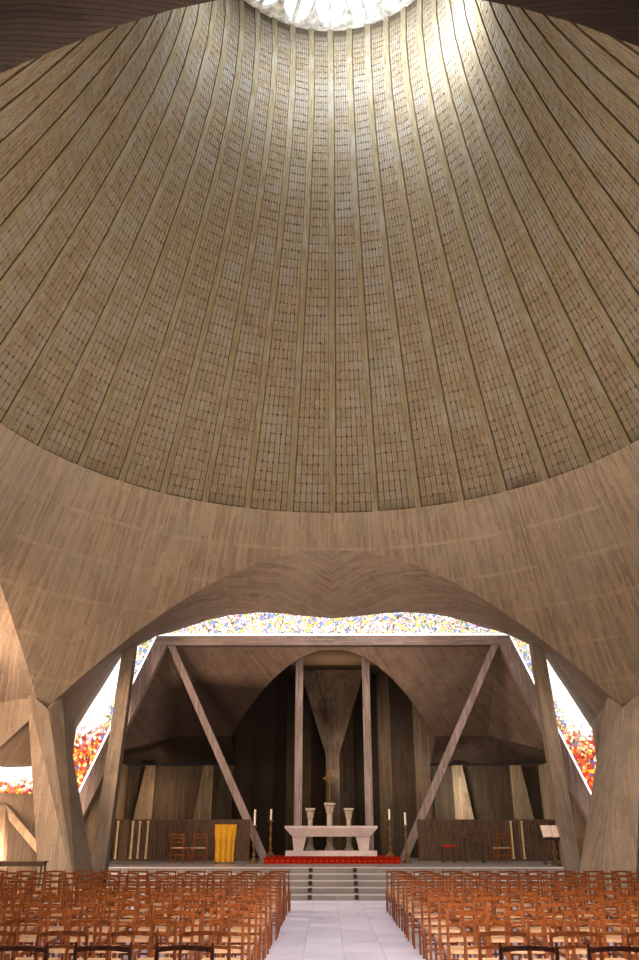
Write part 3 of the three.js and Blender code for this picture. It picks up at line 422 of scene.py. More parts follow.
def stave_outline(low, high, holes, width):
    """A stave's eight corners as (share across itself, height), cut deeper where there is a hole."""
    outline = []
    for index, (side, level) in enumerate(((0, low), (1, low), (1, high), (0, high))):
        reach = HOLE_SIZE if holes[index] else STAVE_ROUND
        inward = reach / width if side == 0 else -reach / width
        upward = reach if level == low else -reach
        beside = (side + inward, level)
        above = (side, level + upward)
        outline += [above, beside] if index % 2 == 0 else [beside, above]
    return outline


def hole_pattern(courses):
    """Which meeting points of stave ends have a hole, per course line and joint."""
    pattern = []
    for _ in range(courses + 1):
        line = []
        for joint in range(STAVES + 1):
            line.append(0 < joint < STAVES and random.random() < HOLE_SHARE)
        pattern.append(line)
    return pattern


def ring_faces(faces, first, count, flip=False):
    """Faces between a ring of corners and the next ring."""
    for step in range(count):
        after = (step + 1) % count
        across, down = (count + step, after) if flip else (after, count + step)
        faces.append([first + step, first + across, first + count + after, first + down])


def add_stave(body, bay, outline, stave, middle):
    """One raised stave: its face, and the sloping sides that run back into the bed."""
    corners, faces = body
    first = len(corners)
    back = []
    front = []
    foot = STAVE_EDGE + random.uniform(-COURSE_WAVE, COURSE_WAVE)
    head = -STAVE_EDGE + random.uniform(-COURSE_WAVE, COURSE_WAVE)
    proud = STAVE_PROUD + random.uniform(-STAVE_WOBBLE, STAVE_WOBBLE)
    narrow = random.uniform(*STAVE_NARROW)
    for side, level in outline:
        inner_side = side + (0.5 - side) * (narrow + random.uniform(0.0, CORNER_WANDER))
        inner_level = level + (foot if level < middle else head)
        back.append(bay_point(bay, stave_share(stave, side, level), level, -STAVE_BED))
        front.append(bay_point(bay, stave_share(stave, inner_side, level), inner_level, proud))
    corners += back + front
    count = len(outline)
    faces.append([first + count + index for index in range(count)])
    ring_faces(faces, first, count)


def stave_share(stave, side, level):
    """Where a stave's side stands between the two ribs, with its joint taken off."""
    width = flat_radius(level) * BAY / STAVES
    gap = STAVE_JOINT / width
    return (stave + gap + side * (1 - 2 * gap)) / STAVES


def make_piece(name, body, slot, *finishes):
    """One mesh piece of the building, fixed to it, with its finishes."""
    mesh = bpy.data.meshes.new(name)
    corners, faces = body
    mesh.from_pydata([tuple(corner) for corner in corners], [], faces)
    mesh.update()
    for finish in finishes:
        mesh.materials.append(finish)
    piece = bpy.data.objects.new(name, mesh)
    bpy.context.scene.collection.objects.link(piece)
    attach(piece, "root")
    return piece


def bay_places(x, y):
    """The bay's number, metres to the left of the nearest rib's middle, and the bay's width."""
    angle = reckon("ARCTAN2", y, x) / BAY
    bay = reckon("ROUND", angle)
    radius = reckon("SQRT", x * x + y * y)
    width = radius * BAY
    off = (angle - bay) * width
    return bay, off, width


def stave_lines(off, width):
    """A fine groove down the middle of each stave."""
    beyond = reckon("LESS_THAN", off, 0.0) * width
    from_rib = off + beyond - RIB_HALF
    between = width - (2 * RIB_HALF + OPEN_JOINT)
    share = from_rib / between * STAVES
    return band(reckon("PINGPONG", share, 0.5), 0.43, 0.47)


def rib_finish():
    """Smooth ribs, and the panels' bed between them, near-black as painted shade in joints and holes."""
    finish, surface, place = new_finish("rib_concrete", 0.8, 0.25)
    x, y, z = split(place)
    bay, off, _ = bay_places(x, y)
    streaks = cloud(point(off * 26.0, z * 1.1, bay), 1.0, 4.0, 0.65)
    patches = cloud(point(x, y, z * 0.5), 1.6, 5.0, 0.65)
    rib = blend(band(streaks, 0.32, 0.7), RIB_DARK, RIB_LIGHT)
    rib = blend(band(patches, 0.5, 0.66, 0.0, 0.8), rib, STAVE_GREY)
    rib = blend(band(patches, 0.44, 0.34, 0.0, 0.7), rib, STAVE_GREEN)
    side = reckon("ABSOLUTE", off)
    on_rib = band(side, RIB_HALF - 0.004, RIB_HALF + 0.001, 1.0, 0.0)
    crumbs = cloud(place, 14.0, 3.0, 0.6)
    # The bed is painted near-black: painted shade deep in the open joints and sound holes.
    bed = blend(band(crumbs, 0.38, 0.6), BED_DARK, STAVE_DARK)
    paint(surface, blend(on_rib, bed, rib))
    relief(surface, streaks, 0.01)
    return finish


def stave_finish():
    """Clay-coloured staves: each its own tone, with drawn lines along it, darker in patches just above the
    ring and darker under the top.
    """
    finish, surface, place = new_finish("panel_staves", 0.85, 0.2)
    x, y, z = split(place)
    bay, off, width = bay_places(x, y)
    tone = look_up(place.tree, "ShaderNodeNewGeometry", "Random Per Island")
    lines = cloud(point(off * 70.0, z * 7.0, bay), 1.0, 3.0, 0.65)
    course = reckon("FLOOR", z / (COURSE_HEIGHT * 3))
    panel = dice(point(bay, course, 5.0))
    mixed = tone * 0.13 + lines * 0.98
    colour = blend(band(mixed, 0.3, 0.82), STAVE_DARK, STAVE_LIGHT)
    groove = stave_lines(off, width) * band(lines, 0.35, 0.6, 0.75, 0.4)
    colour = blend(groove, colour, STAVE_DARK)
    pits = band(cloud(place, 13.0, 2.0, 0.6), 0.42, 0.34, 0.0, 0.8)
    colour = blend(pits, colour, STAVE_DARK)
    patches = cloud(place, 0.7, 5.0, 0.65, 0.4)
    grey = band(patches, 0.44, 0.62, 0.0, 0.65) + panel * 0.14
    colour = blend(grey, colour, STAVE_GREY)
    moss = band(cloud(place, 1.1, 5.0, 0.65), 0.5, 0.7, 0.0, 0.55)
    colour = blend(moss, colour, STAVE_GREEN)
    # Darker in patches just above the ring, and darker just under the top of the wall.
    dark_patches = band(cloud(place, 0.35, 2.0), 0.4, 0.66)
    rise = (z - RING_HEIGHT) * 1.4
    ragged = rise + cloud(place, 2.2, 4.0) * 0.5
    ring_darkening = band(ragged, 0.26, 0.8, 0.85, 0.0) * dark_patches
    colour = blend(ring_darkening, colour, BED_DARK)
    top_darkening = band(z, TOWER_TOP - 0.9, TOWER_TOP - 0.2, 0.0, 0.55)
    colour = blend(top_darkening, colour, BED_DARK)
    paint(surface, colour)
    relief(surface, mixed, 0.01)
    return finish


random.seed(40)
rib_concrete = rib_finish()
panel_staves = stave_finish()
course_count = int((TOWER_TOP - TOP_BED - RING_HEIGHT - FIRST_COURSE) / COURSE_HEIGHT)
for quarter, corner in enumerate(CORNERS):
    dress(rib_concrete, "lantern_wall_" + corner)
    stave_body = [], []
    for bay in range(quarter * RIB_COUNT // 4, (quarter + 1) * RIB_COUNT // 4):
        holes = hole_pattern(course_count)
        for course in range(course_count):
            low = RING_HEIGHT + FIRST_COURSE + course * COURSE_HEIGHT + COURSE_JOINT
            high = low + COURSE_HEIGHT - 2 * COURSE_JOINT
            width = flat_radius(low) * BAY / STAVES
            for stave in range(STAVES):
                below, above = holes[course], holes[course + 1]
                cuts = (below[stave], below[stave + 1], above[stave + 1], above[stave])
                outline = stave_outline(low, high, cuts, width)
                add_stave(stave_body, bay, outline, stave, (low + high) / 2)
    make_piece("tower_panels_" + corner, stave_body, "lantern_panels", panel_staves)


# The open top of the tower: concrete rings and spokes with gussets make a star under the sky.
# It is cast in one with the top of the wall, and rain has streaked it dark and pale.

STAR_DARK = (0.16, 0.14, 0.12, 1.0)
STAR_LIGHT = (0.62, 0.56, 0.46, 1.0)


def plain_finish(name, light, dark, scale, roughness, shine=0.3, depth=0.004, metal=0.0):
    """A finish with soft patches between two tones, for small parts."""
    finish, surface, place = new_finish(name, roughness, shine)
    patches = cloud(place, scale, 5.0, 0.6)
    paint(surface, blend(band(patches, 0.3, 0.7), dark, light))
    surface.inputs["Metallic"].default_value = metal
    relief(surface, patches, depth)
    return finish


dress(plain_finish("star_concrete", STAR_LIGHT, STAR_DARK, 4.0, 0.7), "oculus_star")


# The four arms' vaults: folded shells that twist from the leaning arch out to the gable, cast
# against boards that follow the twist, so their marks swirl.

VAULT_LIGHT = (0.262, 0.184, 0.134, 1.0)
VAULT_DARK = (0.092, 0.066, 0.050, 1.0)
VAULT_BOARD = 0.075
SWIRL = 0.55
FAN = 0.42
NAVE_SHADE_SPAN = (-6.9, -10.8)
SHADE_DRIFT = 0.35


def vault_boards(out_first):
    """Boards across an arm, bent by a slow swirl; out_first is true where the arm runs along X."""
    def directions(x, y, z):
        """Places across and along the boards."""
        side, out = (y, x) if out_first else (x, y)
        bend = cloud(point(x, y, z), 0.34, 2.0)
        bent = out + bend * SWIRL
        fan = reckon("ABSOLUTE", side) * FAN
        return bent + fan, side
    return directions


def nave_vault_shade(x, y, z):
    """Painted shade: the long nave vault is darker away from the tower's light, towards the entrance, more
    on its right.
    """
    drifted = y - x * SHADE_DRIFT
    return band(drifted, *NAVE_SHADE_SPAN) * band(x, -4.0, 3.0, 0.74, 0.85)


vault_concrete = concrete_finish(
    "vault_concrete", VAULT_LIGHT, VAULT_DARK, vault_boards(False),
    board=VAULT_BOARD, painted_shade=nave_vault_shade, marks=0.65
)
transept_vault_concrete = concrete_finish(
    "transept_vault_concrete", VAULT_LIGHT, VAULT_DARK, vault_boards(True), board=VAULT_BOARD, marks=0.8
)
dress(vault_concrete, "sanctuary_vault", "nave_vault")
dress(transept_vault_concrete, "left_transept_vault", "right_transept_vault")


# Piers, gable frames, low walls and their braces: cast upright in narrow boards, and paler than
# the shells. Painted shade darkens those faces of the piers that are turned from the left windows.

PIER_LIGHT = (0.320, 0.235, 0.172, 1.0)
PIER_DARK = (0.135, 0.090, 0.061, 1.0)
FRAME_LIGHT = (0.410, 0.304, 0.292, 1.0)
FRAME_DARK = (0.150, 0.110, 0.092, 1.0)
BEAM_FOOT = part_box("left_transept_gable_frame")[1].z - 0.35


def upright_boards(x, y, z):
    """Upright boards on a wall that faces any way."""
    nx, ny, _ = facing(x.tree)
    tangent = y * nx - x * ny
    return tangent, z


def frame_boards(x, y, z):
    """Upright boards on the legs, and boards along the beam over them."""
    across, along = upright_boards(x, y, z)
    in_beam = band(z, BEAM_FOOT, BEAM_FOOT + 0.01)
    in_leg = 1.0 - in_beam
    beam_across = in_beam * along
    beam_along = in_beam * across
    leg_across = in_leg * across
    leg_along = in_leg * along
    return beam_across + leg_across, beam_along + leg_along


def pier_side_shade(x, y, z):
    """Painted shade: darker on the faces that are turned to the right."""
    rightward, _, _ = facing(x.tree)
    return band(rightward, 0.58, 0.66, 0.0, 0.42)


pier_concrete = concrete_finish(
    "pier_concrete", PIER_LIGHT, PIER_DARK, upright_boards, stains=0.4, painted_shade=pier_side_shade, marks=0.8
)
low_wall_concrete = concrete_finish(
    "low_wall_concrete", PIER_LIGHT, PIER_DARK, upright_boards, stains=0.3, marks=0.8
)
frame_concrete = concrete_finish("frame_concrete", FRAME_LIGHT, FRAME_DARK, frame_boards, stains=0.3)
dress(pier_concrete, *["pier_" + corner for corner in CORNERS])
dress(low_wall_concrete, *["low_wall_" + corner for corner in CORNERS])
dress(frame_concrete, *[arm + "_gable_frame" for arm in ARMS])


# Stained glass: thick slabs of coloured glass set in thin cement, near white and yellow above,
# orange and red towards the ground. The daylight behind it is painted in as a glow of the panes,
# with near-white painted glare on the palest parts.

GLASS_PANES = 11.0
GLASS_JOINT = 0.12
PANE_SQUAT = 0.8
GLOW = 1.25
WARM_TOP = 5.15
WARM_FADE = 0.9
STRIP_WARM_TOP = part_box("glass_strip_sanctuary_left")[0].z + 0.42
STRIP_WARM_FADE = 0.45
CLEAR_EDGE = 0.10
FRAME_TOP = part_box("left_transept_gable_frame")[1].z
LEG_FOOT = 9.30
LEG_FOOT_Z = 1.49
LEG_LEAN = math.radians(22.15)
PALE_PANES = (
    (0.00, (1.0, 0.97, 0.86, 1)),
    (0.22, (1.0, 0.80, 0.22, 1)),
    (0.36, (0.55, 0.66, 1.0, 1)),
    (0.52, (1.0, 1.0, 1.0, 1)),
    (0.66, (0.90, 0.50, 0.66, 1)),
    (0.76, (0.20, 0.36, 0.80, 1)),
    (0.84, (1.0, 0.88, 0.50, 1)),
    (0.95, (0.45, 0.62, 0.28, 1)),
)
WARM_PANES = (
    (0.00, (1.0, 0.24, 0.02, 1)),
    (0.22, (0.70, 0.03, 0.01, 1)),
    (0.44, (1.0, 0.50, 0.03, 1)),
    (0.60, (1.0, 0.76, 0.22, 1)),
    (0.71, (0.90, 0.10, 0.02, 1)),
    (0.83, (0.16, 0.08, 0.42, 1)),
    (0.88, (0.30, 0.02, 0.03, 1)),
    (0.96, (1.0, 0.94, 0.80, 1)),
)
DAZZLE = (1.6, 1.6, 1.55, 1.0)
CEMENT = (0.13, 0.08, 0.07, 1.0)


def pane_colours(value, stops):
    """A stepped choice of pane colours."""
    tree, node = add_step("ShaderNodeValToRGB", value)
    node.color_ramp.interpolation = "CONSTANT"
    steps = node.color_ramp.elements
    while len(steps) < len(stops):
        steps.new(1.0)
    for step, (start, colour) in zip(steps, stops):
        step.position = start
        step.color = colour
    return Reading(tree, node.outputs["Color"])


def from_frame(x, y, z):
    """Metres outwards from the gable frame's leg or above its beam, the same for all four arms."""
    side = reckon("MINIMUM", reckon("ABSOLUTE", x), reckon("ABSOLUTE", y))
    beyond_leg = (side - LEG_FOOT) * math.cos(LEG_LEAN)
    up_leg = (z - LEG_FOOT_Z) * math.sin(LEG_LEAN)
    above_beam = z - FRAME_TOP
    return reckon("MAXIMUM", beyond_leg + up_leg, above_beam)


def panes(place, feature, output):
    """One reading of the pattern of panes: the colour of each, or the distance to its edge."""
    tree, node = add_step("ShaderNodeTexVoronoi", place)
    node.feature = feature
    node.inputs["Scale"].default_value = GLASS_PANES
    return Reading(tree, node.outputs[output])


def stained_glass_finish(name, warm_top, warm_fade, dazzling):
    """Panes with a painted glow and cement between them; dazzling says where the pale panes get near-white
    painted glare.
    """
    finish, surface, place = new_finish(name, 0.25, 0.5)
    x, y, z = split(place)
    squat = point(x, y, z * PANE_SQUAT)
    pick, second, _ = split(panes(squat, "F1", "Color"))
    wander = (second - 0.5) * warm_fade
    level = z + wander
    height = band(level, warm_top - warm_fade / 2, warm_top + warm_fade / 2)
    colour = blend(height, pane_colours(pick, WARM_PANES), pane_colours(pick, PALE_PANES))
    pane = band(panes(squat, "DISTANCE_TO_EDGE", "Distance"), GLASS_JOINT * 0.3, GLASS_JOINT)
    glowing = blend(pane, CEMENT, colour)
    glowing = blend(dazzling(x, y, z, height), glowing, DAZZLE)
    paint(surface, blend(pane, CEMENT, colour))
    # The panes' painted glow, standing in for the daylight behind them.
    feed(surface.inputs["Emission Color"], glowing)
    surface.inputs["Emission Strength"].default_value = GLOW
    relief(surface, pane, 0.01)
    return finish


def gable_dazzle(x, y, z, height):
    """Painted glare on a clear strip by the frame, and on the outer upper parts beside its legs."""
    off_frame = from_frame(x, y, z)
    outer = band(off_frame, 0.35, 0.75) * height
    side_light = outer * band(z, FRAME_TOP - 0.2, FRAME_TOP - 0.6, 0.0, 0.8)
    return reckon("MAXIMUM", side_light, band(off_frame, CLEAR_EDGE, CLEAR_EDGE + 0.02, 1.0, 0.0))


def strip_dazzle(x, y, z, height):
    """Painted glare on all but the warm panes at the foot of a low strip."""
    return height * 0.85


stained_glass = stained_glass_finish("stained_glass", WARM_TOP, WARM_FADE, gable_dazzle)
low_glass = stained_glass_finish("low_glass", STRIP_WARM_TOP, STRIP_WARM_FADE, strip_dazzle)
dress(stained_glass, *[arm + "_gable_glass" for arm in ARMS])
dress(low_glass, *["glass_strip_" + corner for corner in CORNERS])
dress(low_glass, "nave_glass_left", "nave_glass_right")


# The low roofs over the sanctuary and the transept rooms, the room walls and the tall apse with
# its folded wall, flared pillar and two slim posts: darker concrete, with painted shade on the
# sanctuary's low roof, the apse wall, the apse roof and the room walls.

ROOF_LIGHT = (0.250, 0.160, 0.116, 1.0)
ROOF_DARK = (0.066, 0.042, 0.031, 1.0)
APSE_LIGHT = (0.150, 0.100, 0.064, 1.0)
APSE_DARK = (0.050, 0.032, 0.021, 1.0)
PILLAR_LIGHT = (0.104, 0.064, 0.044, 1.0)
PILLAR_DARK = (0.024, 0.014, 0.010, 1.0)
WALL_LIGHT = (0.330, 0.235, 0.150, 1.0)
WALL_DARK = (0.110, 0.076, 0.048, 1.0)
WALL_FACE = (15.80, 15.92)


def roof_shade(x, y, z):
    """Painted shade: darker towards the back of the room and towards its sides, and black in its deep left
    hollow.
    """
    deep = band(y, 12.9, 15.2, 0.0, 0.4)
    left = band(x, -0.5, -5.5, 0.0, 0.38)
    hollow_width = band(x, -1.6, -2.6) * band(x, -6.6, -5.4)
    hollow = hollow_width * band(z, 7.35, 6.75, 0.0, 0.8)
    sides = left + band(x, 1.5, 4.5, 0.0, 0.28)
    dark = deep + sides + hollow
    soft = cloud(point(x, y, z), 0.7, 4.0, 0.6) * 0.4
    return reckon("MINIMUM", dark + soft - 0.2, 0.93)


def apse_shade(x, y, z):
    """Painted shade: the apse is darkest high up, and on the folds that are turned from the left."""
    high = band(z, 4.0, 8.0, 0.0, 0.5)
    rightward, _, _ = facing(x.tree)
    turned = band(rightward, -0.55, 0.1, 0.1, 0.82)
    return reckon("MINIMUM", high + turned, 0.93)


def wall_shade(x, y, z):
    """Painted shade: the room walls are darker in the recess behind the pilasters, and on the left, where
    the lamps are off.
    """
    recess = band(y, *WALL_FACE, 0.0, 0.8)
    return reckon("MAXIMUM", recess, band(x, 0.5, -4.0, 0.0, 0.35))


def fan_boards(x, y, z):
    """Boards that spread from the room's front to its back."""
    bend = cloud(point(x, y, z), 0.3, 2.0) * 0.9
    return x + bend + z * 0.8, y


def outward_boards(x, y, z):
    """Boards that run straight out from the tower, over a transept's low roof."""
    bend = cloud(point(x, y, z), 0.3, 2.0) * 0.3
    return y + bend, x


roof_concrete = concrete_finish(
    "roof_concrete", ROOF_LIGHT, ROOF_DARK, fan_boards, board=0.12, painted_shade=roof_shade, stains=0.3, marks=0.45
)
room_roof_concrete = concrete_finish(
    "room_roof_concrete", ROOF_LIGHT, ROOF_DARK, outward_boards, board=0.12, marks=0.6
)
apse_concrete = concrete_finish(
    "apse_concrete", APSE_LIGHT, APSE_DARK, upright_boards, stains=0.25, painted_shade=apse_shade
)
pillar_concrete = concrete_finish(
    "pillar_concrete", PILLAR_LIGHT, PILLAR_DARK, upright_boards, stains=0.5, marks=0.5
)
wall_concrete = concrete_finish(
    "wall_concrete", WALL_LIGHT, WALL_DARK, upright_boards, board=0.10, painted_shade=wall_shade
)
dress(roof_concrete, "sanctuary_low_roof")
dress(room_roof_concrete, "left_transept_low_roof", "right_transept_low_roof")
dress(apse_concrete, "apse_wall")
dress(pillar_concrete, "apse_pillar")
dress(wall_concrete, "apse_roof")
dress(wall_concrete, "sanctuary_wall_left", "sanctuary_wall_right")
dress(frame_concrete, "apse_post_left", "apse_post_right")
dress(frame_concrete, "left_transept_wall", "right_transept_wall", "nave_wall_left", "nave_wall_right")
dress(frame_concrete, "entrance_wall")


# Floor, sanctuary platform and steps: slabs of pale bluish marble with fine joints and a soft
# shine. Each riser has two small black sockets on the aisle's line.

SLAB = 0.60
MARBLE_LIGHT = (0.820, 0.775, 0.930, 1.0)
MARBLE_DARK = (0.600, 0.550, 0.690, 1.0)
MARBLE_JOINT = (0.30, 0.26, 0.29, 1.0)
STEP_LIGHT = (0.280, 0.235, 0.220, 1.0)
STEP_DARK = (0.180, 0.150, 0.140, 1.0)
LIT_TREAD_EDGE = (0.560, 0.520, 0.520, 1.0)
LIT_TREAD_BAND = (0.76, 0.82)
SOCKET_BLACK = (0.012, 0.010, 0.010, 1.0)
SOCKET_RIM = (0.060, 0.050, 0.046, 1.0)
SOCKET_SIZE = 0.105
SOCKET_LIP = 0.012
SOCKET_PROUD = 0.004
SOCKET_DEPTH = 0.01
STEP_SLAB = 1.2
SOCKET_PLACES = (-0.70, 0.54)
RISERS = 5
RISER = 0.15
TREAD = 0.30
BOX_FACES = ((0, 3, 2, 1), (4, 5, 6, 7), (0, 1, 5, 4), (1, 2, 6, 5), (2, 3, 7, 6), (3, 0, 4, 7))


def marble_finish(name, slab, light, dark, lit_tread_edges=False):
    """Square marble slabs, each a little different; on steps, a pale line painted at each riser's top as
    the highlight of the lit tread edge.
    """
    finish, surface, place = new_finish(name, 0.32, 0.5)
    x, y, z = split(place)
    across = x / slab
    out = y / slab
    tone = dice(point(reckon("FLOOR", across), reckon("FLOOR", out), 2.0))
    veins = cloud(place, 2.4, 6.0, 0.65, 1.2)
    mixed = tone * 0.35 + veins * 0.8
    colour = blend(band(mixed, 0.3, 0.9), dark, light)
    gap = reckon("MINIMUM", reckon("PINGPONG", across, 0.5), reckon("PINGPONG", out, 0.5))
    # A pale line painted near each riser's top: a painted highlight for the lit edge of the tread.
    if lit_tread_edges:
        share = reckon("FRACT", (z - FLOOR_TOP) / RISER)
        _, _, tilt = facing(place.tree)
        upright = band(reckon("ABSOLUTE", tilt), 0.5, 0.4)
        line = band(share, *LIT_TREAD_BAND, 0.0, 0.8) * upright
        colour = blend(line, colour, LIT_TREAD_EDGE)
    joint = band(gap, 0.004, 0.012, 0.6, 0.0)
    paint(surface, blend(joint, colour, MARBLE_JOINT))
    feed(surface.inputs["Roughness"], band(veins, 0.3, 0.7, 0.26, 0.42))
    relief(surface, 1.0 - joint, 0.003)
    return finish


def rail(body, low, high, place=Matrix()):
    """A bar between two opposite corners, set down at a place."""
    corners, faces = body
    first = len(corners)
    (x0, y0, z0), (x1, y1, z1) = low, high
    for z in (z0, z1):
        for x, y in ((x0, y0), (x1, y0), (x1, y1), (x0, y1)):
            corners.append(place @ Vector((x, y, z)))
    faces += [[first + index for index in face] for face in BOX_FACES]


def turned_place(middle, degrees, axis):
    """A place at a point, turned by some degrees about an axis."""
    return Matrix.Translation(middle) @ Matrix.Rotation(math.radians(degrees), 4, axis)


floor_marble = marble_finish("floor_marble", SLAB, MARBLE_LIGHT, MARBLE_DARK)
step_marble = marble_finish("step_marble", STEP_SLAB, STEP_LIGHT, STEP_DARK, lit_tread_edges=True)
dress(floor_marble, "floor_slab")
dress(step_marble, "sanctuary_steps", "sanctuary_platform")

steps_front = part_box("sanctuary_steps")[0].y
socket_body = [], []
for middle_x in SOCKET_PLACES:
    for riser in range(RISERS):
        face_y = steps_front + riser * TREAD
        middle_z = FLOOR_TOP + (riser + 0.5) * RISER
        half = SOCKET_SIZE / 2
        rail(
            socket_body, (middle_x - half, face_y - SOCKET_PROUD, middle_z - half),
            (middle_x + half, face_y + SOCKET_DEPTH, middle_z + half)
        )
        for turn in range(4):
            bar = turned_place((middle_x, face_y, middle_z), 90 * turn, "Y")
            rail(socket_body, (-half, -SOCKET_LIP, half - SOCKET_LIP), (half, -SOCKET_PROUD, half), bar)
make_piece(
    "riser_sockets", socket_body, "dark_wood",
    plain_finish("socket_black", SOCKET_RIM, SOCKET_BLACK, 20.0, 0.5)
)


# Dais and altar: a broad riser under red patterned carpet, and a white stone table on two flared
# supports over a long plinth.

CARPET_RED = (0.310, 0.006, 0.001, 1.0)
CARPET_GOLD = (0.360, 0.060, 0.006, 1.0)
CARPET_NAVY = (0.060, 0.010, 0.012, 1.0)
ALTAR_LIGHT = (0.640, 0.545, 0.530, 1.0)
ALTAR_DARK = (0.450, 0.370, 0.350, 1.0)


def carpet_finish():
    """Red pile with small medallions and a knotted texture."""
    finish, surface, place = new_finish("red_carpet", 0.95, 0.03)
    x, y, z = split(place)
    upright = y + z
    petals = reckon("PINGPONG", x, 0.085) * reckon("PINGPONG", upright, 0.075)
    medallion = band(petals, 0.0022, 0.0034)
    small = reckon("PINGPONG", x, 0.03) * reckon("PINGPONG", upright, 0.03)
    speck = band(small, 0.0005, 0.0006, 0.0, 0.6)
    colour = blend(medallion, CARPET_RED, CARPET_GOLD)
    colour = blend(speck, colour, CARPET_NAVY)
    pile = cloud(place, 160.0, 2.0)
    colour = blend(band(pile, 0.35, 0.65, 0.0, 0.4), colour, CARPET_NAVY)
    paint(surface, colour)
    relief(surface, pile, 0.004)
    return finish


dress(carpet_finish(), "altar_dais")
altar_stone = plain_finish("altar_stone", ALTAR_LIGHT, ALTAR_DARK, 1.8, 0.4, 0.5, 0.002)
dress(altar_stone, "altar")


# Choir screens: dark stained wood with slots, on each side of the sanctuary, and slim pale gilt
# uprights nailed to the front of them.

WOOD_DARK = (0.024, 0.013, 0.009, 1.0)
WOOD_BROWN = (0.125, 0.072, 0.044, 1.0)
GILT_BAR_WIDTH = 0.06
GILT_BAR_HALF_DEPTH = 0.025
GILT_CAP = 0.015
GILT_CAP_HALF_DEPTH = 0.03
GILT_CAP_HEIGHT = 0.05
SCREEN_EDGE = 0.05
SCREEN_FOOT = 0.06
GILT_BARS = (-8.03, -7.79, -7.48, -6.96, -6.72, -6.44, 6.12, 6.49)


def wood_finish(name, light, dark, roughness, across_x=18.0):
    """Wood with its grain upright."""
    finish, surface, place = new_finish(name, roughness, 0.4)
    x, y, z = split(place)
    stretched = point(x * across_x, y * across_x, z * 1.5)
    grain = cloud(stretched, 2.0, 5.0, 0.6, 0.8)
    paint(surface, blend(band(grain, 0.3, 0.7), dark, light))
    relief(surface, grain, 0.003)
    return finish


def block(body, x, y, half_x, half_y, bottom, top):
    """An upright block about a middle line."""
    rail(body, (x - half_x, y - half_y, bottom), (x + half_x, y + half_y, top))


dark_wood = wood_finish("dark_wood", WOOD_BROWN, WOOD_DARK, 0.5)
dress(dark_wood, "choir_screen_left", "choir_screen_right", "door_leaf_left", "door_leaf_right")

screen_low, screen_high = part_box("choir_screen_right")
bar_body = [], []
for middle_x in GILT_BARS:
    bar_x = max(min(middle_x, screen_high.x - SCREEN_EDGE), -screen_high.x + SCREEN_EDGE)
    foot_z = screen_low.z + SCREEN_FOOT
    head_z = screen_high.z - SCREEN_EDGE
    half = GILT_BAR_WIDTH / 2
    cap = half + GILT_CAP
    bar_y = screen_low.y - GILT_BAR_HALF_DEPTH
    cap_y = screen_low.y - GILT_CAP_HALF_DEPTH
    block(bar_body, bar_x, bar_y, half, GILT_BAR_HALF_DEPTH, foot_z, head_z)
    for cap_z in (foot_z, head_z - GILT_CAP_HEIGHT):
        block(bar_body, bar_x, cap_y, cap, GILT_CAP_HALF_DEPTH, cap_z, cap_z + GILT_CAP_HEIGHT)
pale_gilt = plain_finish("pale_gilt", (0.620, 0.480, 0.260, 1), (0.330, 0.220, 0.100, 1), 14.0, 0.45)
make_piece("screen_uprights", bar_body, "dark_wood", pale_gilt)


# Candlesticks: four tall turned brass sticks with thick white candles, two on each side of the
# altar. The outer two stand on the platform, the inner two on the carpeted dais.

PLATFORM_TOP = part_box("sanctuary_platform")[1].z
DAIS_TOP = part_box("altar_dais")[1].z
GILT_LIGHT = (0.600, 0.400, 0.160, 1.0)
GILT_DARK = (0.240, 0.130, 0.045, 1.0)
WAX_LIGHT = (0.860, 0.780, 0.650, 1.0)
WAX_DARK = (0.700, 0.600, 0.460, 1.0)
STICK_HEIGHT = 1.10
STICK_PROFILE = (
    (0.150, 0.000), (0.150, 0.030), (0.115, 0.045), (0.105, 0.080), (0.050, 0.120),
    (0.030, 0.170), (0.052, 0.205), (0.058, 0.235), (0.030, 0.270), (0.022, 0.370),
    (0.046, 0.440), (0.052, 0.475), (0.028, 0.520), (0.020, 0.640), (0.040, 0.730),
    (0.044, 0.765), (0.022, 0.810), (0.020, 0.900), (0.060, 0.955), (0.085, 0.985),
    (0.085, 1.000), (0.030, 1.000),
)
CANDLE_PROFILE = ((0.032, 0.0), (0.032, 0.97), (0.026, 0.985), (0.005, 0.985), (0.004, 1.0))
CANDLESTICKS = (
    (-2.55, 10.9, PLATFORM_TOP, 1.57),
    (-2.09, 11.8, DAIS_TOP, 1.43),
    (2.27, 10.9, PLATFORM_TOP, 1.48),
    (1.83, 11.8, DAIS_TOP, 1.43),
)


def turned(body, profile, middle, sides=24, lobes=0.0):
    """A piece turned on a lathe from rings of (radius, height); lobes makes eight leaves of it."""
    corners, faces = body
    first = len(corners)
    for radius, level in profile:
        for step in range(sides):
            angle = 2 * math.pi * step / sides
            reach = radius * (1 + lobes * math.cos(8 * angle))
            corners.append(
                Vector(middle) + Vector((reach * math.cos(angle), reach * math.sin(angle), level))
            )
    for ring in range(len(profile) - 1):
        ring_faces(faces, first + ring * sides, sides)
    faces.append([first + sides - 1 - step for step in range(sides)])
    faces.append([len(corners) - sides + step for step in range(sides)])


def smooth(piece, angle=35):
    """Rounds the shading, and keeps edges sharper than an angle."""
    piece.data.shade_smooth()
    piece.data.set_sharp_from_angle(angle=math.radians(angle))
    return piece


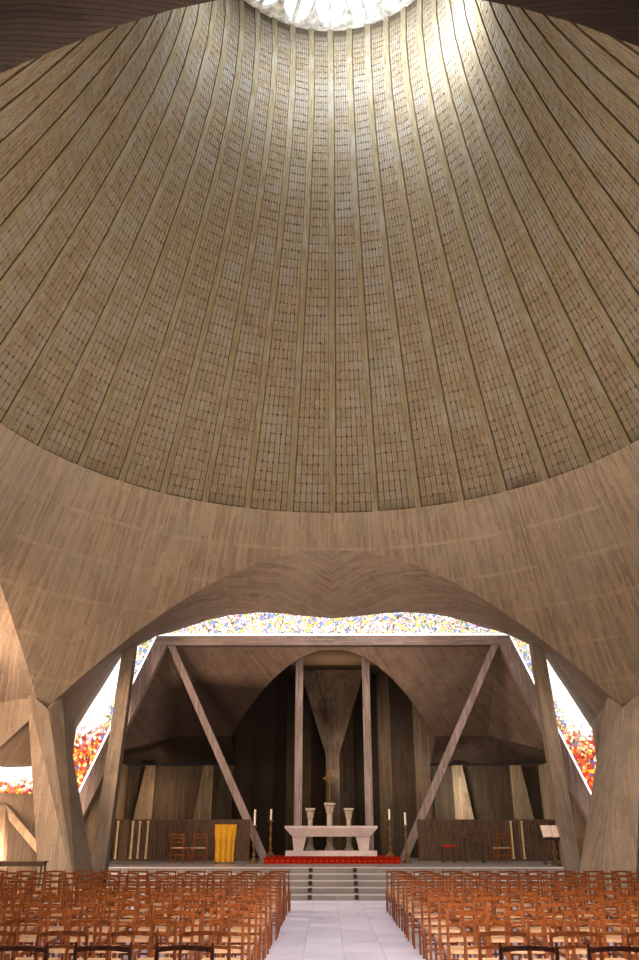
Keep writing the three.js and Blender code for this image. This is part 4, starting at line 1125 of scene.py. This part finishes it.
gilt = plain_finish("gilt_brass", GILT_LIGHT, GILT_DARK, 30.0, 0.34, 0.5, 0.002, 0.85)
candle_wax = plain_finish("candle_wax", WAX_LIGHT, WAX_DARK, 6.0, 0.5, 0.4, 0.002)
stick_body = [], []
candle_body = [], []
for stick_x, stick_y, foot_z, full_height in CANDLESTICKS:
    stick_profile = [(radius, share * STICK_HEIGHT) for radius, share in STICK_PROFILE]
    turned(stick_body, stick_profile, (stick_x, stick_y, foot_z))
    wax_height = full_height - STICK_HEIGHT
    candle_profile = [(radius, share * wax_height) for radius, share in CANDLE_PROFILE]
    turned(candle_body, candle_profile, (stick_x, stick_y, foot_z + STICK_HEIGHT), 16)
smooth(make_piece("candlesticks", stick_body, "white_stone", gilt))
smooth(make_piece("candles", candle_body, "white_stone", candle_wax))


# Behind the altar: three stone columns with leafy capitals on moulded bases, and on the middle one
# a gilt cross with a ring of rays. All stand on the dais.

PEDESTAL_Y = 13.56
PEDESTALS = ((-0.82, 1.50, 0.17), (-0.14, 1.67, 0.20), (0.53, 1.50, 0.17))
CROSS_HEIGHT = 1.12
CROSS_BAR = 0.045
CROSS_ARM = 0.24
CROSS_HEAD = 0.30
CROSS_FOOT = 0.56
CROSS_HALF_DEPTH = 0.012
RAYS = 24
RAY_INNER = 0.11
RAY_OUTER = 0.20


def pedestal(body, x, height, half):
    """A square base, a turned foot and shaft, a leafy capital and a square slab."""
    y = PEDESTAL_Y
    shaft = half * 0.52
    block(body, x, y, half * 1.1, half * 1.1, DAIS_TOP, DAIS_TOP + 0.10)
    block(body, x, y, half * 0.9, half * 0.9, DAIS_TOP + 0.10, DAIS_TOP + 0.17)
    foot = [
        (half * 0.85, 0.17), (half * 0.9, 0.20), (half * 0.85, 0.23), (shaft * 1.2, 0.26),
        (shaft * 1.3, 0.29), (shaft, 0.33)
    ]
    turned(body, foot + [(shaft * 0.92, height - 0.34), (shaft * 1.1, height - 0.33)], (x, y, DAIS_TOP))
    leaves = [
        (shaft, -0.33), (shaft * 1.25, -0.26), (shaft * 1.15, -0.22), (shaft * 1.5, -0.14),
        (shaft * 1.3, -0.12), (half * 0.95, -0.05)
    ]
    turned(body, leaves, (x, y, DAIS_TOP + height), 32, 0.09)
    block(body, x, y, half, half, DAIS_TOP + height - 0.055, DAIS_TOP + height)


pedestal_body = [], []
for pedestal_x, pedestal_height, pedestal_half in PEDESTALS:
    pedestal(pedestal_body, pedestal_x, pedestal_height, pedestal_half)
aged_stone = plain_finish(
    "aged_stone", (0.560, 0.450, 0.360, 1), (0.330, 0.250, 0.190, 1), 9.0, 0.7, 0.3, 0.006
)
smooth(make_piece("capital_pedestals", pedestal_body, "white_stone", aged_stone))

cross_body = [], []
cross_x, cross_base, _ = PEDESTALS[1]
cross_z = DAIS_TOP + cross_base
foot_profile = [
    (0.13, 0.0), (0.13, 0.03), (0.07, 0.06), (0.03, 0.10), (0.045, 0.14), (0.03, 0.18), (0.02, 0.30)
]
turned(cross_body, foot_profile, (cross_x, PEDESTAL_Y, cross_z))
cross_middle = Vector((cross_x, PEDESTAL_Y, cross_z + CROSS_HEIGHT - CROSS_HEAD))
half_bar = CROSS_BAR / 2
for turn, reach in ((0, CROSS_HEAD), (90, CROSS_ARM), (180, CROSS_FOOT), (270, CROSS_ARM)):
    arm = turned_place(cross_middle, turn, "Y")
    rail(cross_body, (-half_bar, -CROSS_HALF_DEPTH, 0.0), (half_bar, CROSS_HALF_DEPTH, reach), arm)
    if turn != 180:
        flare = half_bar * 1.7
        rail(cross_body, (-flare, -0.016, reach - 0.07), (flare, 0.016, reach - 0.03), arm)
for ray in range(RAYS):
    spin = turned_place(cross_middle, 360 * ray / RAYS, "Y")
    outer = RAY_OUTER if ray % 2 else RAY_OUTER * 0.85
    rail(cross_body, (-0.004, -0.005, RAY_INNER * 0.4), (0.004, 0.005, outer), spin)
    rail(cross_body, (-0.017, -0.008, RAY_INNER), (0.017, 0.008, RAY_INNER + 0.022), spin)
make_piece("gilt_cross", cross_body, "white_stone", gilt)


# Lectern on the right: a sloping desk on a gilt turned stem between four dark legs, with an open
# blank book on it.

LECTERN_X = 6.68
LECTERN_Y = 9.9
DESK_WIDTH = 0.74
DESK_DEPTH = 0.52
DESK_TILT = 48
DESK_Z = 1.66
LEDGE_DEPTH = 0.02
LEG_REACH = 0.16
LEG_INSET = 0.06
LEG_HALF = 0.02
BAR_HALF = 0.015
BAR_LEVELS = (0.10, 0.13)
BOOK_HALF = 0.22
BOOK_BOW = 0.045
BOOK_THICKNESS = 0.004
BOOK_STEPS = 12
PAPER_LIGHT = (0.800, 0.620, 0.500, 1.0)
PAPER_DARK = (0.640, 0.450, 0.340, 1.0)
STEM_PROFILE = (
    (0.17, 0.00), (0.17, 0.04), (0.12, 0.07), (0.06, 0.12), (0.05, 0.22), (0.09, 0.30),
    (0.10, 0.36), (0.05, 0.44), (0.04, 0.56), (0.07, 0.64), (0.05, 0.72), (0.09, 0.80),
)

lectern_body = [], []
desk = turned_place((LECTERN_X, LECTERN_Y, FLOOR_TOP + DESK_Z), DESK_TILT, "X")
half_desk = DESK_WIDTH / 2
desk_front = -DESK_DEPTH / 2
rail(lectern_body, (-half_desk, desk_front, -0.03), (half_desk, DESK_DEPTH / 2, 0.0), desk)
rail(lectern_body, (-half_desk, desk_front - LEDGE_DEPTH, -0.03), (half_desk, desk_front, 0.035), desk)
bar_low, bar_high = [PLATFORM_TOP + level for level in BAR_LEVELS]
for side in (-1, 1):
    leg_x = LECTERN_X + side * (half_desk - LEG_INSET)
    for leg_y in (-LEG_REACH, LEG_REACH):
        leg_top = FLOOR_TOP + DESK_Z - 0.06 + leg_y * math.tan(math.radians(DESK_TILT)) * 0.9
        block(lectern_body, leg_x, LECTERN_Y + leg_y, LEG_HALF, LEG_HALF, PLATFORM_TOP, leg_top)
    block(lectern_body, leg_x, LECTERN_Y, BAR_HALF, LEG_REACH, bar_low, bar_high)
block(lectern_body, LECTERN_X, LECTERN_Y, half_desk - LEG_INSET, BAR_HALF, bar_low, bar_high)
make_piece("lectern", lectern_body, "dark_wood", dark_wood)

stem_body = [], []
turned(stem_body, STEM_PROFILE, (LECTERN_X, LECTERN_Y, PLATFORM_TOP))
smooth(make_piece("lectern_stem", stem_body, "white_stone", gilt))


def strip_faces(faces, first, length, gap, flip=False):
    """Faces between a row of corners and the row that starts gap corners later."""
    for low in range(first, first + length - 1):
        across, down = (gap, 1) if flip else (1, gap)
        faces.append([low, low + across, low + gap + 1, low + down])


book_corners, book_faces = book_body = [], []
for level in (BOOK_THICKNESS, 0.0):
    for row in (-BOOK_HALF, BOOK_HALF):
        for step in range(BOOK_STEPS + 1):
            share = 2 * step / BOOK_STEPS - 1
            bow = BOOK_BOW * math.sqrt(abs(share)) * (1 - abs(share) * 0.75)
            book_corners.append(desk @ Vector((share * (half_desk - 0.04), row, 0.002 + bow + level)))
strip = BOOK_STEPS + 1
strip_faces(book_faces, 0, strip, strip)
strip_faces(book_faces, 2 * strip, strip, strip, flip=True)
strip_faces(book_faces, 0, strip, 2 * strip, flip=True)
strip_faces(book_faces, strip, strip, 2 * strip)
paper = plain_finish("paper_leaves", PAPER_LIGHT, PAPER_DARK, 12.0, 0.8, 0.2, 0.001)
make_piece("open_book", book_body, "white_stone", paper)


# Draped stand on the left: a plain wooden rack with a broad yellow cloth hung over its top rail,
# falling nearly to the floor in soft upright folds.

DRAPE_X = -3.44
DRAPE_Y = 10.6
RACK_TOP = 1.11
RACK_WIDTH = 0.56
RACK_RAIL = 0.03
POST_HALF = 0.018
RACK_FOOT_REACH = 0.20
RACK_FOOT_HEIGHT = 0.035
CLOTH_WIDTH = 0.68
CLOTH_FRONT = 1.08
CLOTH_BACK = 0.80
CLOTH_RIDGE = 0.025
CLOTH_SWELL = 0.05
CLOTH_LIFT = 0.006
CLOTH_THICKNESS = 0.003
CLOTH_FOLDS = 3.5
FOLD_SLOPE = 0.75
CLOTH_STEP = 0.02
ROW_DROP = 0.04
CLOTH_YELLOW = (0.560, 0.270, 0.010, 1.0)
CLOTH_SHADE = (0.340, 0.130, 0.004, 1.0)
CLOTH_THREAD = (0.700, 0.430, 0.060, 1.0)

rack_body = [], []
rail_z = PLATFORM_TOP + RACK_TOP
for side in (-1, 1):
    post_x = DRAPE_X + side * (RACK_WIDTH / 2 - 0.02)
    block(rack_body, post_x, DRAPE_Y, POST_HALF, POST_HALF, PLATFORM_TOP, rail_z)
    foot_top = PLATFORM_TOP + RACK_FOOT_HEIGHT
    block(rack_body, post_x, DRAPE_Y, 0.02, RACK_FOOT_REACH, PLATFORM_TOP, foot_top)
block(rack_body, DRAPE_X, DRAPE_Y, RACK_WIDTH / 2, 0.02, rail_z - RACK_RAIL, rail_z)
rack = make_piece("drape_rack", rack_body, "dark_wood", dark_wood)


def cloth_row(fallen, phase):
    """Places across the cloth: the fold's slope grows with the depth fallen, and its length is kept."""
    slope = FOLD_SLOPE * min(1.0, fallen / 0.5)
    places = [(0.0, 0.0)]
    steps = round(CLOTH_WIDTH / CLOTH_STEP)
    for step in range(steps):
        angle = slope * math.cos(2 * math.pi * CLOTH_FOLDS * (step + 0.5) / steps + phase)
        x, y = places[-1]
        x += math.cos(angle) * CLOTH_WIDTH / steps
        y += math.sin(angle) * CLOTH_WIDTH / steps
        places.append((x, y))
    middle_x = places[-1][0] / 2
    middle_y = sum(y for x, y in places) / len(places)
    return [(x - middle_x, y - middle_y) for x, y in places]


cloth_corners, cloth_faces = cloth_body = [], []
cloth_rows = [(step * ROW_DROP, 1) for step in range(round(CLOTH_BACK / ROW_DROP), -1, -1)]
cloth_rows += [(step * ROW_DROP, -1) for step in range(round(CLOTH_FRONT / ROW_DROP) + 1)]
for fallen, face_side in cloth_rows:
    swell = CLOTH_RIDGE + CLOTH_SWELL * min(1.0, fallen / 0.4)
    for x, y in cloth_row(fallen, 0.6 if face_side > 0 else 0.0):
        cloth_corners.append((DRAPE_X + x, DRAPE_Y + face_side * swell + y, rail_z + CLOTH_LIFT - fallen))
row_length = round(CLOTH_WIDTH / CLOTH_STEP) + 1
for row in range(len(cloth_rows) - 1):
    strip_faces(cloth_faces, row * row_length, row_length, row_length)


def yellow_cloth_finish():
    """Woven wool: fine threads both ways, paler slubs and shade in the folds."""
    finish, surface, place = new_finish("yellow_cloth", 0.85, 0.2)
    surface.inputs["Sheen Weight"].default_value = 0.25
    x, y, z = split(place)
    across = reckon("PINGPONG", x, 0.0015)
    along = reckon("PINGPONG", z, 0.0015)
    weave = band(across + along, 0.0006, 0.0024)
    slubs = cloud(point(x * 90.0, y, z * 8.0), 1.0, 4.0)
    colour = blend(band(slubs, 0.35, 0.75), CLOTH_SHADE, CLOTH_YELLOW)
    colour = blend(weave * 0.25, colour, CLOTH_THREAD)
    paint(surface, colour)
    relief(surface, weave, 0.001)
    return finish


drape = make_piece("yellow_drape", cloth_body, "carpet", yellow_cloth_finish())
smooth(drape, 80)
thickness = drape.modifiers.new("thickness", "SOLIDIFY")
thickness.thickness = CLOTH_THICKNESS
thickness.offset = 0.0


# Chairs: turned out of orange-brown wood, with pale rush seats and three back rails, in straight
# rows on both sides of the aisle, facing the altar.

BACK_TOP = 0.835
CHAIR_WIDTH = 0.46
CHAIR_DEPTH = 0.42
SEAT_HEIGHT = 0.44
LEG = 0.030
BACK_RAILS = ((0.800, 0.835), (0.700, 0.725), (0.580, 0.602))
SIDE_BAR = (0.18, 0.20)
FRONT_BAR = (0.24, 0.262)
BACK_BAR = (0.22, 0.242)
BAR_INSET = 0.006
SEAT_UNDER = 0.02
SEAT_CROWN = 0.014
BACK_ARCH = 0.016
BACK_LEAN = 0.05
FINIAL = 0.035
CHAIR_PITCH = 0.64
ROW_PITCH = 1.0
FIRST_ROW = -9.4
LAST_ROW = 4.0
ROW_TURN = 3.0
ROW_SHIFT_X = 0.02
ROW_SHIFT_Y = 0.03
AISLE_EDGE = 1.10
BLOCK_EDGE = 8.6
CHAIR_LIGHT = (0.290, 0.076, 0.014, 1.0)
CHAIR_DARK = (0.060, 0.015, 0.005, 1.0)
RUSH_LIGHT = (0.560, 0.330, 0.200, 1.0)
RUSH_DARK = (0.380, 0.200, 0.110, 1.0)


def back_post(body, side, place):
    """A back post: straight to the seat, then leaning out to a small pointed finial."""
    corners, faces = body
    foot = len(corners)
    levels = (
        (0.0, 0.0, 1.0), (SEAT_HEIGHT, 0.0, 1.15), (BACK_TOP - 0.01, BACK_LEAN, 0.85),
        (BACK_TOP + FINIAL, BACK_LEAN, 0.35)
    )
    middle_x = side * (CHAIR_WIDTH - LEG) / 2
    for level, lean, share in levels:
        half = LEG / 2 * share
        middle_y = -CHAIR_DEPTH / 2 + LEG / 2 - lean
        for x, y in ((-half, -half), (half, -half), (half, half), (-half, half)):
            corners.append(place @ Vector((middle_x + x, middle_y + y, level)))
    for step in range(len(levels) - 1):
        ring_faces(faces, foot + 4 * step, 4)
    faces.append([foot + 3, foot + 2, foot + 1, foot])
    faces.append([len(corners) - 4 + index for index in range(4)])


def back_rail(body, low, high, place):
    """A slim back rail, bowed up a little in its middle and leaning with the posts."""
    corners, faces = body
    first = len(corners)
    inner = CHAIR_WIDTH / 2 - LEG
    for step in range(5):
        share = step / 2 - 1
        arch = BACK_ARCH * (1 - share * share)
        for level, y in ((low, 0.0), (low, 0.014), (high, 0.014), (high, 0.0)):
            lean = BACK_LEAN * (level - SEAT_HEIGHT) / (BACK_TOP - SEAT_HEIGHT)
            bow = arch * 1.5
            corners.append(
                place @ Vector((inner * share, -CHAIR_DEPTH / 2 + 0.006 - lean - bow + y, level + arch))
            )
    for step in range(4):
        ring_faces(faces, first + 4 * step, 4, flip=True)


def chair(body, rush, place):
    """One ladder-back chair; rush lists the faces of the seat's weave."""
    half = CHAIR_WIDTH / 2
    deep = CHAIR_DEPTH / 2
    inner = half - LEG
    for side in (-1, 1):
        back_post(body, side, place)
        x0, x1 = sorted((side * half, side * inner))
        rail(body, (x0, deep - LEG, 0), (x1, deep, SEAT_HEIGHT), place)
        rail(
            body, (x0 + BAR_INSET, -deep + LEG, SEAT_HEIGHT - 0.06),
            (x1 - BAR_INSET, deep - LEG, SEAT_HEIGHT - SEAT_UNDER), place
        )
        rail(body, (x0 + 0.008, -deep + LEG, SIDE_BAR[0]), (x1 - 0.008, deep - LEG, SIDE_BAR[1]), place)
    for low, high in BACK_RAILS:
        back_rail(body, low, high, place)
    for edge, (low, high) in ((deep - LEG, FRONT_BAR), (-deep, BACK_BAR)):
        rail(body, (-inner, edge + BAR_INSET, low), (inner, edge + LEG - BAR_INSET, high), place)
    start = len(body[1])
    rail(
        body, (-half + 0.005, -deep + LEG, SEAT_HEIGHT - SEAT_UNDER),
        (half - 0.005, deep + 0.012, SEAT_HEIGHT + SEAT_CROWN), place
    )
    rush += range(start, len(body[1]))


def rush_finish():
    """Twisted rush, with its strands across the seat."""
    finish, surface, place = new_finish("rush_seat", 0.8, 0.3)
    x, y, z = split(place)
    strands = cloud(point(x * 8.0, y * 90.0, z), 1.0, 3.0)
    paint(surface, blend(band(strands, 0.3, 0.7), RUSH_DARK, RUSH_LIGHT))
    relief(surface, strands, 0.003)
    return finish


chair_wood = wood_finish("chair_wood", CHAIR_LIGHT, CHAIR_DARK, 0.35, 12.0)
rush_seat = rush_finish()


def make_chairs(name, body, seat_faces):
    """One piece of many chairs, with rush on the faces of their seats."""
    chairs = make_piece(name, body, "dark_wood", chair_wood, rush_seat)
    for index in seat_faces:
        chairs.data.polygons[index].material_index = 1


random.seed(7)
for side, rows in ((-1, "chairs_left"), (1, "chairs_right")):
    chair_body = [], []
    seat_faces = []
    row_y = FIRST_ROW
    while row_y < LAST_ROW:
        seat_x = AISLE_EDGE + CHAIR_WIDTH / 2
        while seat_x < BLOCK_EDGE:
            turn = random.uniform(-ROW_TURN, ROW_TURN)
            shift_x = random.uniform(-ROW_SHIFT_X, ROW_SHIFT_X)
            shift_y = random.uniform(-ROW_SHIFT_Y, ROW_SHIFT_Y)
            spot = (side * seat_x + shift_x, row_y + shift_y, FLOOR_TOP)
            chair(chair_body, seat_faces, turned_place(spot, turn, "Z"))
            seat_x += CHAIR_PITCH
        row_y += ROW_PITCH
    make_chairs(rows, chair_body, seat_faces)


# On the platform: three more chairs, a low table and a stool with a red cushion, and at the foot
# of the left pier a dark bench for books. Table, stool and bench are of the screens' dark wood.

TABLE_LEG = 0.045
TABLE_TOP = 0.035
TABLE_EDGE = 0.03
APRON_INSET = 0.05
APRON_DEPTH = 0.12
SIDE_TABLE = ((4.20, 11.30), (4.86, 11.75), 0.72)
BOOK_BENCH = ((-9.00, 5.55), (-7.45, 5.95), 0.97)
PLATFORM_CHAIRS = ((-4.35, 20), (-4.95, -15), (5.35, 10))
PLATFORM_CHAIRS_Y = 11.2
STOOL_PLACE = (3.68, 11.5)
STOOL_HALF = 0.24
STOOL_HEIGHT = 0.46
CUSHION_INSET = 0.02
CUSHION_DEPTH = 0.055
CUSHION_PINCH = 0.06
CUSHION_STEPS = 14
CUSHION_RED = (0.420, 0.020, 0.012, 1.0)
CUSHION_DEEP = (0.220, 0.010, 0.008, 1.0)


def table(body, low, high, height, base):
    """A table: a top with a small overhang, an apron and four square legs."""
    (x0, y0), (x1, y1) = low, high
    under = base + height - TABLE_TOP
    rail(body, (x0, y0, under), (x1, y1, base + height))
    for x in (x0 + TABLE_EDGE, x1 - TABLE_EDGE - TABLE_LEG):
        for y in (y0 + TABLE_EDGE, y1 - TABLE_EDGE - TABLE_LEG):
            rail(body, (x, y, base), (x + TABLE_LEG, y + TABLE_LEG, under))
    apron_foot = base + height - APRON_DEPTH
    for y in (y0 + APRON_INSET, y1 - APRON_INSET):
        rail(body, (x0 + APRON_INSET, y - 0.01, apron_foot), (x1 - APRON_INSET, y + 0.01, under))


table_body = [], []
table(table_body, *SIDE_TABLE, PLATFORM_TOP)
table(table_body, *BOOK_BENCH, FLOOR_TOP)
stool_x, stool_y = STOOL_PLACE
table(
    table_body, (stool_x - STOOL_HALF, stool_y - STOOL_HALF), (stool_x + STOOL_HALF, stool_y + STOOL_HALF),
    STOOL_HEIGHT, PLATFORM_TOP
)
make_piece("tables", table_body, "dark_wood", dark_wood)

platform_body = [], []
platform_seats = []
for seat_x, seat_turn in PLATFORM_CHAIRS:
    seat_middle = (seat_x, PLATFORM_CHAIRS_Y, PLATFORM_TOP)
    seat_place = turned_place(seat_middle, seat_turn, "Z")
    chair(platform_body, platform_seats, seat_place)
make_chairs("platform_chairs", platform_body, platform_seats)

half_cushion = STOOL_HALF - CUSHION_INSET
stool_top = PLATFORM_TOP + STOOL_HEIGHT
cushion_corners, cushion_faces = cushion_body = [], []
for level in (1, -1):
    for row in range(CUSHION_STEPS + 1):
        for step in range(CUSHION_STEPS + 1):
            u = 2 * step / CUSHION_STEPS - 1
            v = 2 * row / CUSHION_STEPS - 1
            pinch = 1 - CUSHION_PINCH * (1 - abs(u * v)) * max(abs(u), abs(v)) ** 4
            crown = CUSHION_DEPTH * ((1 - u ** 4) * (1 - v ** 4)) ** 0.5
            lift = 0.012 + crown if level > 0 else 0.010 - 0.2 * crown
            x = stool_x + u * pinch * half_cushion
            y = stool_y + v * pinch * half_cushion
            cushion_corners.append((x, y, stool_top + lift))
side_length = CUSHION_STEPS + 1
below = side_length * side_length
for row in range(CUSHION_STEPS):
    strip_faces(cushion_faces, row * side_length, side_length, side_length)
    strip_faces(cushion_faces, below + row * side_length, side_length, side_length, flip=True)
edge_ring = list(range(side_length))
edge_ring += [row * side_length + CUSHION_STEPS for row in range(1, side_length)]
edge_ring += [CUSHION_STEPS * side_length + step for step in range(CUSHION_STEPS - 1, -1, -1)]
edge_ring += [row * side_length for row in range(CUSHION_STEPS - 1, 0, -1)]
for index, corner in enumerate(edge_ring):
    after = edge_ring[(index + 1) % len(edge_ring)]
    cushion_faces.append([corner, corner + below, after + below, after])
red_velvet = plain_finish("red_velvet", CUSHION_RED, CUSHION_DEEP, 40.0, 0.8, 0.2, 0.002)
cushion = make_piece("stool_cushion", cushion_body, "carpet", red_velvet)
smooth(cushion, 60)


# The ground under the building, for the picture only: a flat pale sheet just under the floor slab.
# It isn't part of the church.

GROUND_REACH = 60.0
GROUND_GAP = 0.002
ground_tone = plain_finish(
    "pale_ground", (0.70, 0.69, 0.67, 1), (0.64, 0.63, 0.61, 1), 0.2, 0.9, 0.2, 0.001
)
ground_mesh = bpy.data.meshes.new("pale_floor")
ground_corners = [(x * GROUND_REACH, y * GROUND_REACH) for x, y in ((-1, -1), (1, -1), (1, 1), (-1, 1))]
ground_mesh.from_pydata([(x, y, cad_low.z - GROUND_GAP) for x, y in ground_corners], [], [(0, 1, 2, 3)])
ground_mesh.materials.append(ground_tone)
ground = bpy.data.objects.new("pale_floor", ground_mesh)
bpy.context.scene.collection.objects.link(ground)
